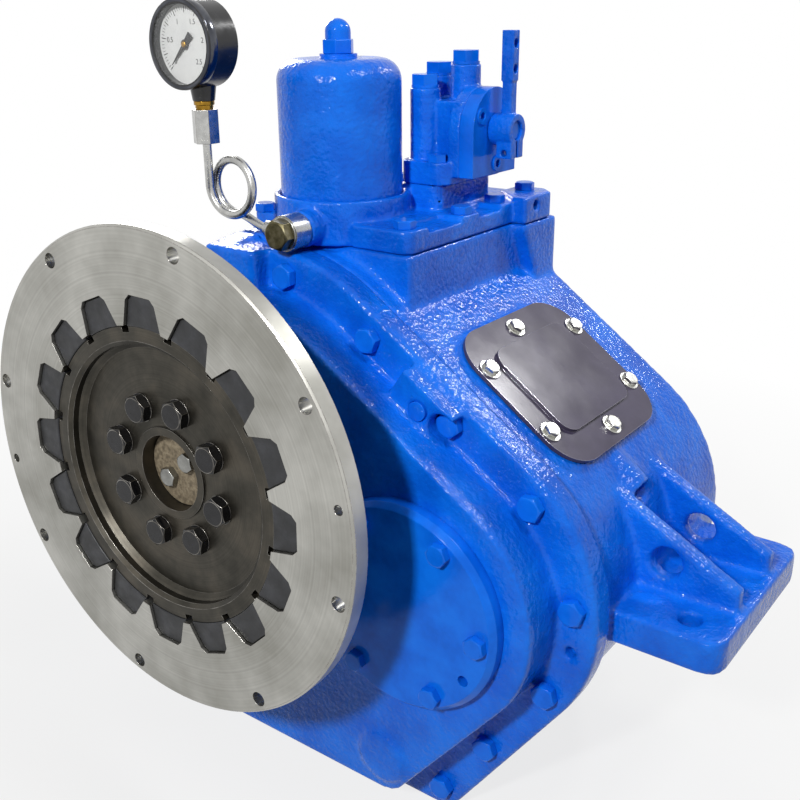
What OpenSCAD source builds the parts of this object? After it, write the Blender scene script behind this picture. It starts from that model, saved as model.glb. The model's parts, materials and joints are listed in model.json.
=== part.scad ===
// Marine reduction gearbox with a flexible flywheel coupling, millimetres.
// The origin is the centre of the driving ring's front face.
// +X is to the right seen from the engine, +Y runs aft along the shafts, +Z is up.

/* [Driving ring] */
// Outside diameter of the driving ring
ring_d = 352.4; // [345:0.1:362]
// Thickness of the driving ring
ring_t = 14.5; // [13:0.5:17]
// Distance of the ring bolt circle from the ring's edge
ring_bolt_edge = 9.5; // [8:0.1:12]
// Bolt hole diameter of the driving ring
ring_bolt_d = 10.7; // [9:0.1:12]
// Number of bolt holes in the driving ring
ring_bolt_count = 8; // [6:1:12]
// Direction of the first ring bolt hole, in degrees from +X
ring_bolt_angle = 31.6; // [0:0.1:45]

/* [Rubber coupling] */
// Number of rubber blocks
block_count = 16; // [12:1:18]
// Length of the rubber blocks outside the hub
block_len = 22; // [19:0.5:28]
// Width of a block at the hub
block_root_w = 35.5; // [30:0.5:37]
// Width of a block at its tip
block_tip_w = 26; // [20:0.5:30]
// Direction of the first block, in degrees from +X
block_angle = -1.1; // [-11:0.1:11]
// Diameter of the coupling hub
hub_d = 216; // [208:1:220]
// Distance of the hub rim behind the ring face
hub_rim_y = 3.5; // [1:0.5:6]
// Distance of the hub web behind the ring face
hub_web_y = 15; // [12:0.5:18]
// Thickness of the hub web
hub_web_t = 13; // [10:0.5:18]
// Bolt circle diameter of the hub bolts
hub_bolt_circle = 100; // [94:1:106]
// Number of hub bolts
hub_bolt_count = 8; // [6:1:8]

/* [Gears] */
// Gear module
gear_module = 4; // [3.9:0.02:4.1]
// Teeth on each of the two transfer gears
transfer_teeth = 43; // [40:1:43]
// Teeth on each pinion
pinion_teeth = 33; // [30:1:34]
// Teeth on the output wheel
wheel_teeth = 52; // [51:1:53]
// Face width of the transfer gears
transfer_w = 34; // [28:1:38]
// Face width of the pinions and the wheel
wheel_w = 50; // [40:1:54]
// Circular backlash between teeth
backlash = 0.5; // [0.3:0.05:0.8]

/* [Shafts] */
// Diameter of the input and counter shafts
shaft_d = 56; // [50:1:58]
// Diameter of the output shaft
output_shaft_d = 75; // [66:1:80]
// Outside diameter of the input and counter bearings
bearing_d = 110; // [104:1:114]
// Width of the input and counter bearings
bearing_w = 27; // [22:1:28]
// Outside diameter of the output bearings
output_bearing_d = 130; // [124:1:136]
// Diameter of the output flange
flange_d = 185; // [175:1:200]
// Bolt circle diameter of the output flange
flange_bolt_circle = 150; // [146:1:156]
// Number of output flange bolts
flange_bolt_count = 8; // [6:1:8]
// Distance of the output flange face behind the ring face
flange_y = 485; // [480:1:520]

/* [Case] */
// Flange radius about the input shaft
case_r_input = 137; // [134:1:142]
// Flange radius about the counter shaft
case_r_counter = 127; // [124:1:132]
// Radius of the lower case corners
corner_r = 26; // [24:1:32]
// Depth of the case bottom below the input shaft
case_bottom = 292; // [288:1:300]
// Distance of the front boss face behind the ring face
boss_y = 90; // [86:1:94]
// Distance of the case flange behind the ring face
case_flange_y = 128; // [124:1:132]
// Thickness of the front case flange
case_flange_t = 22; // [18:1:26]
// Distance of the rear case face behind the ring face
case_rear_y = 360; // [352:1:372]
// Step from the flange edge in to the front boss
boss_step = 29; // [28:1:31]
// Wall thickness of the castings
wall_t = 11; // [8:0.5:12]
// Step from the flange edge in to the rear case wall at the counter shaft
wall_step = 6; // [4:1:10]

/* [Feet] */
// Distance of the outer foot edge from the shaft plane
foot_reach = 348; // [320:1:360]
// Height of the foot top below the input shaft
foot_top = 84; // [76:1:92]
// Thickness of the foot plates
foot_t = 25; // [18:1:28]
// Length of the foot plates along the shafts
foot_len = 164; // [140:1:176]
// Bolt hole diameter of the feet
foot_bolt_d = 16; // [14:0.5:22]
// Diameter of the holes through the foot ribs
rib_hole_d = 23; // [20:1:30]

/* [Top cover] */
// Distance of the upper box wall to the right of the input shaft
box_right = 97; // [95:1:102]
// Distance of the upper box wall to the left of the input shaft
box_left = 55; // [54:1:62]
// Height of the cover joint above the input shaft
cover_z = 137; // [134:1:145]
// Thickness of the top cover
cover_t = 17; // [14:1:22]
// Diameter of the filter canister
filter_d = 93; // [88:1:98]
// Height of the filter canister
filter_h = 102; // [90:1:115]

/* [Inspection cover] */
// Length of the inspection cover down the slope
hatch_len = 128; // [120:1:138]
// Width of the inspection cover along the shafts
hatch_w = 145; // [140:1:154]
// Corner radius of the inspection cover
hatch_r = 30; // [20:1:40]
// Thickness of the inspection cover
hatch_t = 3; // [2:0.5:5]

/* [Gauge and pipe] */
// Diameter of the pressure gauge
gauge_d = 60; // [54:1:66]
// Height of the gauge centre above the input shaft
gauge_z = 279; // [272:1:290]
// Diameter of the gauge pipe
pipe_d = 6.5; // [6:0.5:8]
// Mean radius of the pipe loop
loop_r = 20; // [18:0.5:23]

/* [Control valve] */
// Height of the lever pivot above the input shaft
lever_z = 214; // [212:1:218]
// Length of the control lever above its pivot
lever_len = 71; // [64:1:80]

/* [Hidden] */
$fn = 64;
blue = "#0f5fd0";
steel = "#b5b5b0";
dark_steel = "#4a4744";

// Radial clearances
bolt_clear = 0.3;
thread_fit = 0.05;
run_fit = 0.05;
seat_fit = 0.05;
ring_gap = 1.2;
end_gap = 0.5;

// Fastener sizes: bolts are M12, case bolts and small bolts M10, screws M8
bolt_r = 6;
bolt_af = 19;
bolt_head = 8;
case_af = 17;
case_head = 7;
small_r = 5;
small_af = 14.5;
small_head = 6;
screw_r = 4;
screw_af = 13;
screw_head = 5.5;

// Coupling circles
ring_bolt_circle = ring_d - 2 * ring_bolt_edge;
block_tip_d = hub_d + 2 * block_len;

// Shaft centres in the X-Z plane
transfer_distance = transfer_teeth * gear_module;
reduction_distance = (pinion_teeth + wheel_teeth) * gear_module / 2;
output_z = -reduction_distance;
counter_z = -transfer_distance * transfer_distance / (2 * reduction_distance);
counter_x = sqrt(transfer_distance * transfer_distance - counter_z * counter_z);
input_at = [0, 0];
counter_at = [counter_x, counter_z];
output_at = [0, output_z];
mesh_angle = atan2(counter_z, counter_x);
wheel_angle = atan2(counter_z - output_z, counter_x);

belt_lap = 0.005;

// Case outline, clockwise from the input shaft, each circle as x, z and radius
corner_z = corner_r - case_bottom;
corner_right_x = 148;
corner_left_x = -116;
case_circles = [
    [0, 0, case_r_input],
    [counter_x, counter_z, case_r_counter],
    [corner_right_x, corner_z, corner_r],
    [corner_left_x, corner_z, corner_r]];
wall_lip = 1;
wall_circles = [
    [0, 0, case_r_input - wall_lip],
    [counter_x, counter_z, case_r_counter - wall_step],
    [corner_right_x - wall_step, corner_z, corner_r],
    [corner_left_x + wall_lip, corner_z, corner_r]];
boss_circles = inset(case_circles, boss_step, 20);
case_joint_y = case_flange_y + case_flange_t;
front_inner_y = boss_y + wall_t + 1;
rear_inner_y = case_rear_y - wall_t - 3;

// Bearing seats along Y
front_bearing_y = boss_y + 3;
rear_bearing_y = case_rear_y - bearing_w;
bearing_r = bearing_d / 2;
bearing_boss = 13;
output_bearing_r = output_bearing_d / 2;
output_bearing_w = 30;
output_front_y = boss_y + wall_t;
output_boss_r = output_bearing_r + 23.5;
output_boss_t = 28;
output_rear_y = case_rear_y + output_boss_t;
output_seat_y = output_rear_y - 4 - output_bearing_w;
shaft_r = shaft_d / 2;
journal_r = shaft_r + 2;
seal_journal_r = journal_r + 4;
output_r = output_shaft_d / 2;
race_split = 0.55;
thread_r = output_r - 14;
nut_seat_y = flange_y - 30;
nut_t = 18;

// Gear planes along Y
transfer_y = case_joint_y + 15;
drum_y = transfer_y + transfer_w;
drum_len = 58;
pinion_y = drum_y + drum_len + 8;
drum_r = 72;
drum_wall = 8;
hub_back_y = hub_web_y + hub_web_t;
shaft_flange_t = 16;
shaft_flange_r = hub_bolt_circle / 2 + 14;

// Bearing covers
cover_plate_t = 12.5;
cover_face_y = boss_y - cover_plate_t;
cover_r = bearing_r + 24;
cover_bolt_r = bearing_r + 11;
cover_bolt_count = 6;
rear_cover_t = 12;
rear_cover_r = cover_bolt_r + 13;
output_cover_t = 14;
output_cover_bolt_r = output_bearing_r + 14;
output_cover_y = output_rear_y + output_cover_t;

// Sloped side that carries the inspection cover
slope_normal = tangent_normal(wall_circles[0], wall_circles[1]);
slope_tilt = atan2(slope_normal[0], slope_normal[1]);
slope_z = case_r_input - wall_lip;
hatch_pad = 2;
hatch_seat = slope_z + hatch_pad;
hatch_s = 124;
hatch_y = 239.5;
gasket_t = 1;
panel_in = [47, 45];
hatch_hole = [hatch_len - panel_in[0] - 3, hatch_w - panel_in[1] - 3];
screw_s = hatch_len / 2 - 13;
screw_y = hatch_w / 2 - 9.5;
hatch_screws = [[-screw_s * 0.6, -screw_y], [screw_s * 0.6, -screw_y], [screw_s, 0],
    [screw_s * 0.6, screw_y], [-screw_s * 0.6, screw_y], [-screw_s, 0]];

// Upper box and top cover
box_y = case_joint_y + 15;
box_flare = 12;
flare_top_len = 53;
flare_foot_len = 25;
box_wall = 19;
box_base = 60;
cover_top = cover_z + cover_t;
block_top = cover_top + 4;
filter_at = [6, box_y + 38];
filter_r = filter_d / 2;
collar_r = filter_r + 5.5;
collar_top = cover_top + 16;
filter_base_z = cover_top + 11;
filter_top = filter_base_z + filter_h;
filter_wall = 3;
nut_af = 21;
nut_z = filter_top + 3;
bolt_edge = 9;
cover_bolts = [[84, 13], [88, 81], [83, 137], [bolt_edge - box_left, 7], [bolt_edge - box_left, 75],
    [bolt_edge - box_left, 130], [bolt_edge - box_left, 183]];
block_bolt = [85, 181];
cover_thread = 14;

// Control valve on the top cover
valve_x = [33, 78];
valve_y = [238, 326];
pedestal_x = 71;
pedestal_y = 318;
pedestal_top = cover_top + 20;
valve_flange_top = pedestal_top + 17;
lever_y = 278;
plate_x = valve_x[1] + 6;
plate_t = 12.5;
plate_r = 31;
plate_foot = 34;
lever_x = plate_x + plate_t + 0.5;
lever_hub_w = 19;
lever_hub_r = 12;
spindle_r = 7;
// Valve columns as x, y, radius and top height
columns = [[48, 254.5, 11.5, 244], [68, 280, 11.5, 260.5], [38, 288, 11.5, 251]];
plug_af = 19;
plug_h = 10;

// Gauge, pipe and banjo fitting
banjo_x = 16;
banjo_z = cover_top - 3;
banjo_boss_y = filter_at[1] - collar_r - 10;
banjo_boss_r = 13.5;
washer_t = 1;
eye_w = 16;
eye_r = 13;
eye_y = banjo_boss_y - washer_t - eye_w;
eye_mid = eye_y + eye_w / 2;
eye_neck = 10;
socket_end = banjo_x - eye_r - eye_neck;
banjo_af = 20;
banjo_head = 8;
stem_r = 6.5;
pipe_r = pipe_d / 2;
pipe_pitch = pipe_d + 0.5;
pipe_rise = 8;
loop_at = [-35, banjo_z + pipe_rise + loop_r];
leg_x = loop_at[0] - loop_r;
leg_y = eye_mid - 1.25 * pipe_pitch;
pipe_top = loop_at[1] + 39;
pipe_nut_h = 24;
nut_z0 = pipe_top - 8;
pipe_nut_af = 17;
gauge_r = gauge_d / 2;
gauge_y = leg_y - 20;
gauge_depth = 28;
dial_y = gauge_y + 7;
loop_steps = 40;
pipe_sides = 12;
pipe_route = concat(
    [[banjo_x - eye_r + 1, eye_mid, banjo_z]],
    [for (s = [0, 0.35, 0.7])
        [socket_end + s * (loop_at[0] - socket_end), eye_mid, banjo_z + pipe_rise * s * s * (3 - 2 * s)]],
    [for (i = [0:loop_steps])
        let (turn = 450 * i / loop_steps)
        [loop_at[0] - loop_r * sin(turn), eye_mid - pipe_pitch * i * 1.25 / loop_steps,
            loop_at[1] - loop_r * cos(turn)]],
    [[leg_x, leg_y, pipe_top]]);

// Outward normal of the line that touches two circles passed clockwise
function tangent_normal(a, b) =
    let (
        d = [b[0] - a[0], b[1] - a[1]],
        span = norm(d),
        s = (a[2] - b[2]) / span,
        c = sqrt(1 - s * s))
    [(s * d[0] - c * d[1]) / span, (s * d[1] + c * d[0]) / span];

// Point at the distance r from a circle's centre along a direction
function out_from(c, n, r) = [c[0] + r * n[0], c[1] + r * n[1]];

// Corners of a belt round the circles, a hair inside them so that its sides cross the arcs
function belt_points(cs) = [
    for (i = [0:len(cs) - 1])
        let (
            a = cs[i],
            b = cs[(i + 1) % len(cs)],
            n = tangent_normal(a, b))
        each [out_from(a, n, a[2] - belt_lap), out_from(b, n, b[2] - belt_lap)]];

// The same outline moved inwards, with small corners pulled in instead of vanishing
function inset(cs, d, least = 3) = [
    for (c = cs)
        let (
            r = max(c[2] - d, least),
            pull = d - (c[2] - r))
        [c[0] - pull * sign(c[0]), c[1] + pull, r]];

// Point on the straight side i of an outline, t from 0 to 1
function on_side(cs, i, t) =
    let (
        a = cs[i],
        b = cs[(i + 1) % len(cs)],
        n = tangent_normal(a, b))
    out_from(a, n, a[2]) * (1 - t) + out_from(b, n, b[2]) * t;

// Point on the round part of circle i of an outline
function on_arc(cs, i, angle) = out_from(cs[i], [cos(angle), sin(angle)], cs[i][2]);

bolt_line = inset(case_circles, 17);
case_bolt_points = concat(
    [for (angle = [83.5, 112, 140, 168]) on_arc(bolt_line, 0, angle)],
    [for (t = [0.16, 0.65]) on_side(bolt_line, 0, t)],
    [for (angle = [47, 7, -33]) on_arc(bolt_line, 1, angle)],
    [for (t = [0.54, 1]) on_side(bolt_line, 1, t)],
    [for (t = [0.36, 0.68, 1]) on_side(bolt_line, 2, t)],
    [for (t = [0.33, 0.66]) on_side(bolt_line, 3, t)]);

// Involute of a base circle, as a point at radius r on the flank of a tooth centred on +X
function flank_angle(teeth, r) =
    let (
        pitch = teeth * gear_module / 2,
        base = pitch * cos(20),
        at_r = acos(min(1, base / r)),
        half = 90 / teeth - backlash / 4 / pitch * 180 / PI)
    half + (tan(20) - tan(at_r)) * 180 / PI - 20 + at_r;
function gear_points(teeth) =
    let (
        pitch = teeth * gear_module / 2,
        root = pitch - 1.25 * gear_module,
        tip = pitch + gear_module,
        low = max(root, pitch * cos(20)),
        radii = [root, low + 0.2, pitch, tip])
    [for (i = [0:teeth - 1])
        each concat(
            [for (r = radii) polar(r, 360 * i / teeth - flank_angle(teeth, max(r, low)))],
            [for (k = [len(radii) - 1:-1:0])
                polar(radii[k], 360 * i / teeth + flank_angle(teeth, max(radii[k], low)))])];
function polar(r, angle) = [r * cos(angle), r * sin(angle)];

// Solid between two places along Y, from a shape drawn in X and Z
module slab_y(y0, y1) {
    translate([0, y1, 0]) rotate([90, 0, 0]) linear_extrude(y1 - y0) children();
}

// Solid between two places along X, from a shape drawn in Y and Z
module slab_x(x0, x1) {
    translate([x0, 0, 0]) rotate([90, 0, 90]) linear_extrude(x1 - x0) children();
}

module rod_y(at, r, y0, y1) {
    translate([at[0], y1, at[1]]) rotate([90, 0, 0]) cylinder(h = y1 - y0, r = r);
}

module rod_x(y, z, r, x0, x1) {
    translate([x0, y, z]) rotate([0, 90, 0]) cylinder(h = x1 - x0, r = r);
}

module tube_y(at, r, hole, y0, y1) {
    difference() {
        rod_y(at, r, y0, y1);
        rod_y(at, hole, y0 - 1, y1 + 1);
    }
}

// Turned piece about a shaft axis, from a profile of radius and place along Y
module turned(at) {
    translate([at[0], 0, at[1]]) rotate([-90, 0, 0]) rotate_extrude() children();
}

module turned_z(at) {
    translate([at[0], at[1], 0]) rotate_extrude() children();
}

// Hexagon prism along Y from y0 to y1
module hex_y(at, af, y0, y1) {
    translate([at[0], y1, at[1]]) rotate([90, 0, 0]) cylinder(h = y1 - y0, d = af / cos(30), $fn = 6);
}

module hex_z(at, af, z0, z1) {
    translate([at[0], at[1], z0]) cylinder(h = z1 - z0, d = af / cos(30), $fn = 6);
}

// Hexagon bolt along +Y, with its head in front of the seat
module bolt_y(at, seat, len, r = bolt_r, af = bolt_af, head = bolt_head) {
    hex_y(at, af, seat - head, seat);
    rod_y(at, r, seat - 0.5, seat + len);
}

module bolt_z(at, seat, len, r = small_r, af = small_af, head = small_head) {
    hex_z(at, af, seat, seat + head);
    translate([at[0], at[1], seat - len]) cylinder(h = len + 0.5, r = r);
}

// Copies of a Y bolt or hole on a circle round a shaft
module on_circle(at, r, count, first = 0) {
    for (i = [0:count - 1]) {
        angle = first + 360 * i / count;
        translate([at[0] + r * cos(angle), 0, at[1] + r * sin(angle)]) children();
    }
}

module belt(cs) {
    polygon(belt_points(cs));
    for (c = cs) translate([c[0], c[1]]) circle(r = c[2]);
}

// Rectangle with round corners, centred
module round_rect(w, h, r) {
    square([w - 2 * r, h], center = true);
    square([w, h - 2 * r], center = true);
    for (x = [-1, 1], y = [-1, 1]) translate([x * (w / 2 - r), y * (h / 2 - r)]) circle(r = r);
}

// Frame of the sloped side: X down the slope, Y aft, Z outwards
module on_slope() {
    rotate([0, slope_tilt, 0]) translate([hatch_s, hatch_y, 0]) children();
}

// Coupling

module block_shape(grow) {
    root = hub_d / 2 - 4;
    tip = block_tip_d / 2 + grow;
    cut = 4;
    lean = (block_root_w - block_tip_w) / 2 / (block_tip_d / 2 - hub_d / 2);
    half_root = block_root_w / 2 + grow;
    half_tip = half_root - lean * (tip - cut - root - 4);
    polygon([
        [root, -half_root], [root + 4, -half_root], [tip - cut, -half_tip],
        [tip, cut - half_tip], [tip, half_tip - cut], [tip - cut, half_tip],
        [root + 4, half_root], [root, half_root]]);
}

module at_blocks(shift = 0) {
    for (i = [0:block_count - 1])
        rotate(block_angle + (i + shift) * 360 / block_count) children();
}

module driving_ring() {
    bore = hub_d / 2 + ring_gap;
    edge = 1.5;
    half = ring_d / 2;
    color(steel) difference() {
        turned(input_at) polygon([
            [bore, 0], [half - edge, 0], [half, edge], [half, ring_t - edge],
            [half - edge, ring_t], [bore, ring_t]]);
        slab_y(-1, ring_t + 1) at_blocks() block_shape(seat_fit * 4);
        on_circle(input_at, ring_bolt_circle / 2, ring_bolt_count, ring_bolt_angle)
            rod_y([0, 0], ring_bolt_d / 2, -1, ring_t + 1);
        on_circle(input_at, ring_bolt_circle / 2, 2, ring_bolt_angle - 180 / ring_bolt_count)
            rod_y([0, 0], screw_r - 0.6, -1, ring_t + 1);
    }
}

module rubber_blocks() {
    front = 2.5;
    color("#2b2c30") difference() {
        slab_y(front, ring_t - 1) at_blocks() block_shape(0);
        rod_y(input_at, hub_d / 2 + seat_fit * 4, 0, ring_t);
    }
}

module coupling_hub() {
    r = hub_d / 2;
    bore = 28;
    lip = bore + 6;
    rim = r - 10;
    back = hub_back_y;
    color(dark_steel) difference() {
        turned(input_at) polygon([
            [bore, back], [bore, hub_web_y - 1.5], [lip, hub_web_y - 1.5], [lip, hub_web_y],
            [rim - 7, hub_web_y], [rim - 3, hub_web_y - 4], [rim - 3, hub_rim_y + 2.5],
            [rim, hub_rim_y], [r, hub_rim_y], [r, back + 6], [rim, back + 6], [rim - 6, back]]);
        slab_y(0, hub_rim_y + 6) at_blocks(0.5) translate([r, 0]) square([8, 7], center = true);
        on_circle(input_at, hub_bolt_circle / 2, hub_bolt_count, 28.4)
            rod_y([0, 0], bolt_r + bolt_clear, hub_web_y - 1, back + 1);
    }
}

module hub_bolts() {
    color("#1d1d20") on_circle(input_at, hub_bolt_circle / 2, hub_bolt_count, 28.4)
        bolt_y([0, 0], hub_web_y, hub_web_t + shaft_flange_t);
}

end_plate_t = 4;
end_screw_r = 12.5;
end_screw_angle = 39;
end_screw_len = 22;

module hub_end_plate() {
    color("#8e8068") difference() {
        rod_y(input_at, 28 - bolt_clear, hub_back_y - end_plate_t, hub_back_y);
        on_circle(input_at, end_screw_r, 2, end_screw_angle)
            rod_y([0, 0], screw_r + bolt_clear, 0, hub_back_y + 1);
    }
}

module end_plate_screws() {
    color("#38383a") on_circle(input_at, end_screw_r, 2, end_screw_angle)
        bolt_y([0, 0], hub_back_y - end_plate_t, end_screw_len, screw_r, screw_af, screw_head);
}

// Shafts, gears and clutches

module input_shaft() {
    front = hub_back_y;
    step = front_bearing_y - end_gap;
    pump = 12;
    color(steel) difference() {
        turned(input_at) polygon([
            [0, front], [shaft_flange_r, front], [shaft_flange_r, front + shaft_flange_t],
            [seal_journal_r, front + shaft_flange_t], [seal_journal_r, step], [journal_r, step],
            [journal_r, front_bearing_y + bearing_w], [shaft_r, front_bearing_y + bearing_w],
            [shaft_r, rear_bearing_y - 2], [journal_r - 4, rear_bearing_y - 2],
            [journal_r - 4, case_rear_y + 1], [pump, case_rear_y + 1], [pump, case_rear_y + 40],
            [0, case_rear_y + 40]]);
        on_circle(input_at, hub_bolt_circle / 2, hub_bolt_count, 28.4)
            rod_y([0, 0], bolt_r + thread_fit, front - 1, front + shaft_flange_t + 1);
        on_circle(input_at, end_screw_r, 2, end_screw_angle)
            rod_y([0, 0], screw_r + thread_fit, front - 1, front + end_screw_len);
    }
}

module counter_shaft() {
    front = front_bearing_y + 0.5;
    color(steel) turned(counter_at) polygon([
        [0, front], [journal_r, front], [journal_r, front_bearing_y + bearing_w],
        [shaft_r, front_bearing_y + bearing_w], [shaft_r, rear_bearing_y - 2],
        [journal_r - 4, rear_bearing_y - 2], [journal_r - 4, case_rear_y - 1], [0, case_rear_y - 1]]);
}

module gear(at, teeth, w, y0, bore, turn) {
    slab_y(y0, y0 + w) translate(at) difference() {
        rotate(turn) polygon(gear_points(teeth));
        circle(r = bore);
    }
}

module input_gear() {
    color(steel) gear(input_at, transfer_teeth, transfer_w, transfer_y, shaft_r + seat_fit, mesh_angle);
}

module counter_gear() {
    gap_turn = mesh_angle + 180 + 180 / transfer_teeth;
    color(steel) gear(counter_at, transfer_teeth, transfer_w, transfer_y, shaft_r + seat_fit, gap_turn);
}

module clutch_drum(at) {
    floor_t = 10;
    turned(at) polygon([
        [shaft_r + seat_fit, drum_y], [drum_r, drum_y], [drum_r, drum_y + drum_len],
        [drum_r - drum_wall, drum_y + drum_len], [drum_r - drum_wall, drum_y + floor_t],
        [shaft_r + seat_fit, drum_y + floor_t]]);
}

module clutch_plates(at) {
    pitch = 6;
    for (i = [0:5])
        tube_y(at, drum_r - drum_wall - seat_fit, 47, drum_y + 20 + i * pitch, drum_y + 23 + i * pitch);
}

module forward_clutch_drum() {
    color(dark_steel) clutch_drum(input_at);
}

module reverse_clutch_drum() {
    color(dark_steel) clutch_drum(counter_at);
}

module forward_clutch_plates() {
    color("#7c6a50") clutch_plates(input_at);
}

module reverse_clutch_plates() {
    color("#7c6a50") clutch_plates(counter_at);
}

// Pinion with the clutch hub on its front face, running on the shaft
module pinion(at, turn) {
    gear(at, pinion_teeth, wheel_w, pinion_y, shaft_r + run_fit, turn);
    tube_y(at, 45, shaft_r + run_fit, drum_y + 12, pinion_y);
}

module forward_pinion() {
    color(steel) pinion(input_at, -90 + 180 / pinion_teeth);
}

module reverse_pinion() {
    wheel_pitch = 360 / wheel_teeth;
    ahead = ceil((wheel_angle - 90) / wheel_pitch) * wheel_pitch + 90 - wheel_angle;
    turn = wheel_angle + 180 - ahead * wheel_teeth / pinion_teeth + 180 / pinion_teeth;
    color(steel) pinion(counter_at, turn);
}

module output_shaft() {
    front = output_front_y + 0.5;
    seat = output_r + 4;
    color(steel) turned(output_at) polygon([
        [0, front], [output_r, front], [output_r, output_front_y + output_bearing_w],
        [seat, output_front_y + output_bearing_w], [seat, output_seat_y], [output_r, output_seat_y],
        [output_r, nut_seat_y], [thread_r, nut_seat_y], [thread_r, flange_y - 4], [0, flange_y - 4]]);
}

module output_wheel() {
    dish = 12;
    r_out = wheel_teeth * gear_module / 2 - 16;
    r_in = output_r + 22;
    seat = output_r + 4 + seat_fit;
    color(steel) difference() {
        gear(output_at, wheel_teeth, wheel_w, pinion_y, seat, 90);
        tube_y(output_at, r_out, r_in, pinion_y - 1, pinion_y + dish);
        tube_y(output_at, r_out, r_in, pinion_y + wheel_w - dish, pinion_y + wheel_w + 1);
    }
}

module output_flange() {
    r = flange_d / 2;
    hub = output_r + 18;
    plate = 19;
    back = output_cover_y + 2;
    color(steel) difference() {
        turned(output_at) polygon([
            [output_r + seat_fit, back], [hub, back], [hub, flange_y - plate - 6],
            [hub + 6, flange_y - plate], [r - 2, flange_y - plate], [r, flange_y - plate + 2],
            [r, flange_y - 2], [r - 2, flange_y], [hub - 4, flange_y], [hub - 4, nut_seat_y],
            [output_r + seat_fit, nut_seat_y]]);
        on_circle(output_at, flange_bolt_circle / 2, flange_bolt_count, 90)
            rod_y([0, 0], bolt_r + 1, flange_y - plate - 10, flange_y + 1);
    }
}

module output_nut() {
    color(dark_steel) difference() {
        hex_y(output_at, output_shaft_d - 2, nut_seat_y, nut_seat_y + nut_t);
        rod_y(output_at, thread_r + thread_fit, nut_seat_y - 1, nut_seat_y + nut_t + 1);
    }
}

// Bearings, split into the ring in the case and the ring with rollers on the shaft

function split_r(outer, inner) = inner + race_split * (outer - inner);

module outer_ring(at, outer, inner, y0, w) {
    tube_y(at, outer - seat_fit, split_r(outer, inner) + run_fit, y0, y0 + w);
}

module inner_ring(at, outer, inner, y0, w) {
    tube_y(at, split_r(outer, inner), inner + seat_fit, y0 + 0.5, y0 + w - 0.5);
}

module bearing_outer_rings() {
    color("silver") {
        for (at = [input_at, counter_at]) {
            outer_ring(at, bearing_r, journal_r, front_bearing_y, bearing_w);
            outer_ring(at, bearing_r, journal_r - 4, rear_bearing_y, bearing_w);
        }
        outer_ring(output_at, output_bearing_r, output_r, output_front_y, output_bearing_w);
        outer_ring(output_at, output_bearing_r, output_r, output_seat_y, output_bearing_w);
    }
}

module small_inner_rings(at) {
    inner_ring(at, bearing_r, journal_r, front_bearing_y, bearing_w);
    inner_ring(at, bearing_r, journal_r - 4, rear_bearing_y, bearing_w);
}

module input_bearing_inner_rings() {
    color("silver") small_inner_rings(input_at);
}

module counter_bearing_inner_rings() {
    color("silver") small_inner_rings(counter_at);
}

module output_bearing_inner_rings() {
    color("silver") {
        inner_ring(output_at, output_bearing_r, output_r, output_front_y, output_bearing_w);
        inner_ring(output_at, output_bearing_r, output_r, output_seat_y, output_bearing_w);
    }
}

// Castings

top_pad_x = [-box_left, -4];
ridge_x = filter_at[0] - 0.72 * collar_r;
pad_rise = 6;
top_pad_y = case_flange_y - 16;
round_pad_at = [125, -232];
round_pad_r = 21;
lug_t = 0.53;
lug_w = 50;
lug_y = case_flange_y - 15;
lug_at = on_side(inset(case_circles, 20), 0, lug_t);
plug_r = 7;
head_pocket = 10.6;
jack_angle = -11;

// Pad in front of the box, with a ridge beside the collar that rises towards the cover
function pad_top(y) = cover_z + pad_rise * (y - top_pad_y) / (box_y - top_pad_y);
module top_pad(y0, y1) {
    slab_y(y0, y1) translate([top_pad_x[0], box_base])
        square([top_pad_x[1] - top_pad_x[0], cover_z - box_base]);
    slab_x(top_pad_x[0], ridge_x)
        polygon([[y0, box_base], [y1, box_base], [y1, pad_top(y1)], [y0, pad_top(y0)]]);
}

module front_case() {
    flange_normal = tangent_normal(case_circles[0], case_circles[1]);
    flange_tilt = atan2(flange_normal[0], flange_normal[1]);
    color(blue) difference() {
        union() {
            slab_y(case_flange_y, case_joint_y) belt(case_circles);
            slab_y(boss_y, case_flange_y) belt(boss_circles);
            rod_y(round_pad_at, round_pad_r, boss_y - 4, boss_y);
            slab_y(lug_y, case_flange_y) translate(lug_at) rotate(-flange_tilt)
                square([lug_w, 34], center = true);
            top_pad(top_pad_y, case_joint_y);
        }
        difference() {
            slab_y(front_inner_y, case_joint_y + 1) belt(inset(boss_circles, wall_t));
            for (at = [input_at, counter_at])
                rod_y(at, bearing_r + bearing_boss, boss_y, front_bearing_y + bearing_w + 3);
            rod_y(output_at, output_bearing_r + bearing_boss, boss_y, output_front_y + output_bearing_w);
        }
        for (at = [input_at, counter_at]) {
            rod_y(at, bearing_r, boss_y - 1, case_joint_y);
            on_circle(at, cover_bolt_r, cover_bolt_count, -3)
                rod_y([0, 0], small_r + thread_fit, boss_y - 1, boss_y + 20);
        }
        rod_y(output_at, output_bearing_r, output_front_y, case_joint_y);
        for (p = case_bolt_points) {
            rod_y(p, small_r + bolt_clear, boss_y - 1, case_joint_y + 1);
            rod_y(p, head_pocket, boss_y - 1, case_flange_y);
        }
        rod_y(lug_at, plug_r + thread_fit, lug_y - 1, lug_y + 8);
        rod_y(on_arc(bolt_line, 1, jack_angle), screw_r, case_flange_y - 1, case_flange_y + 12);
    }
}

foot_bolt_in = [30, 23];

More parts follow.
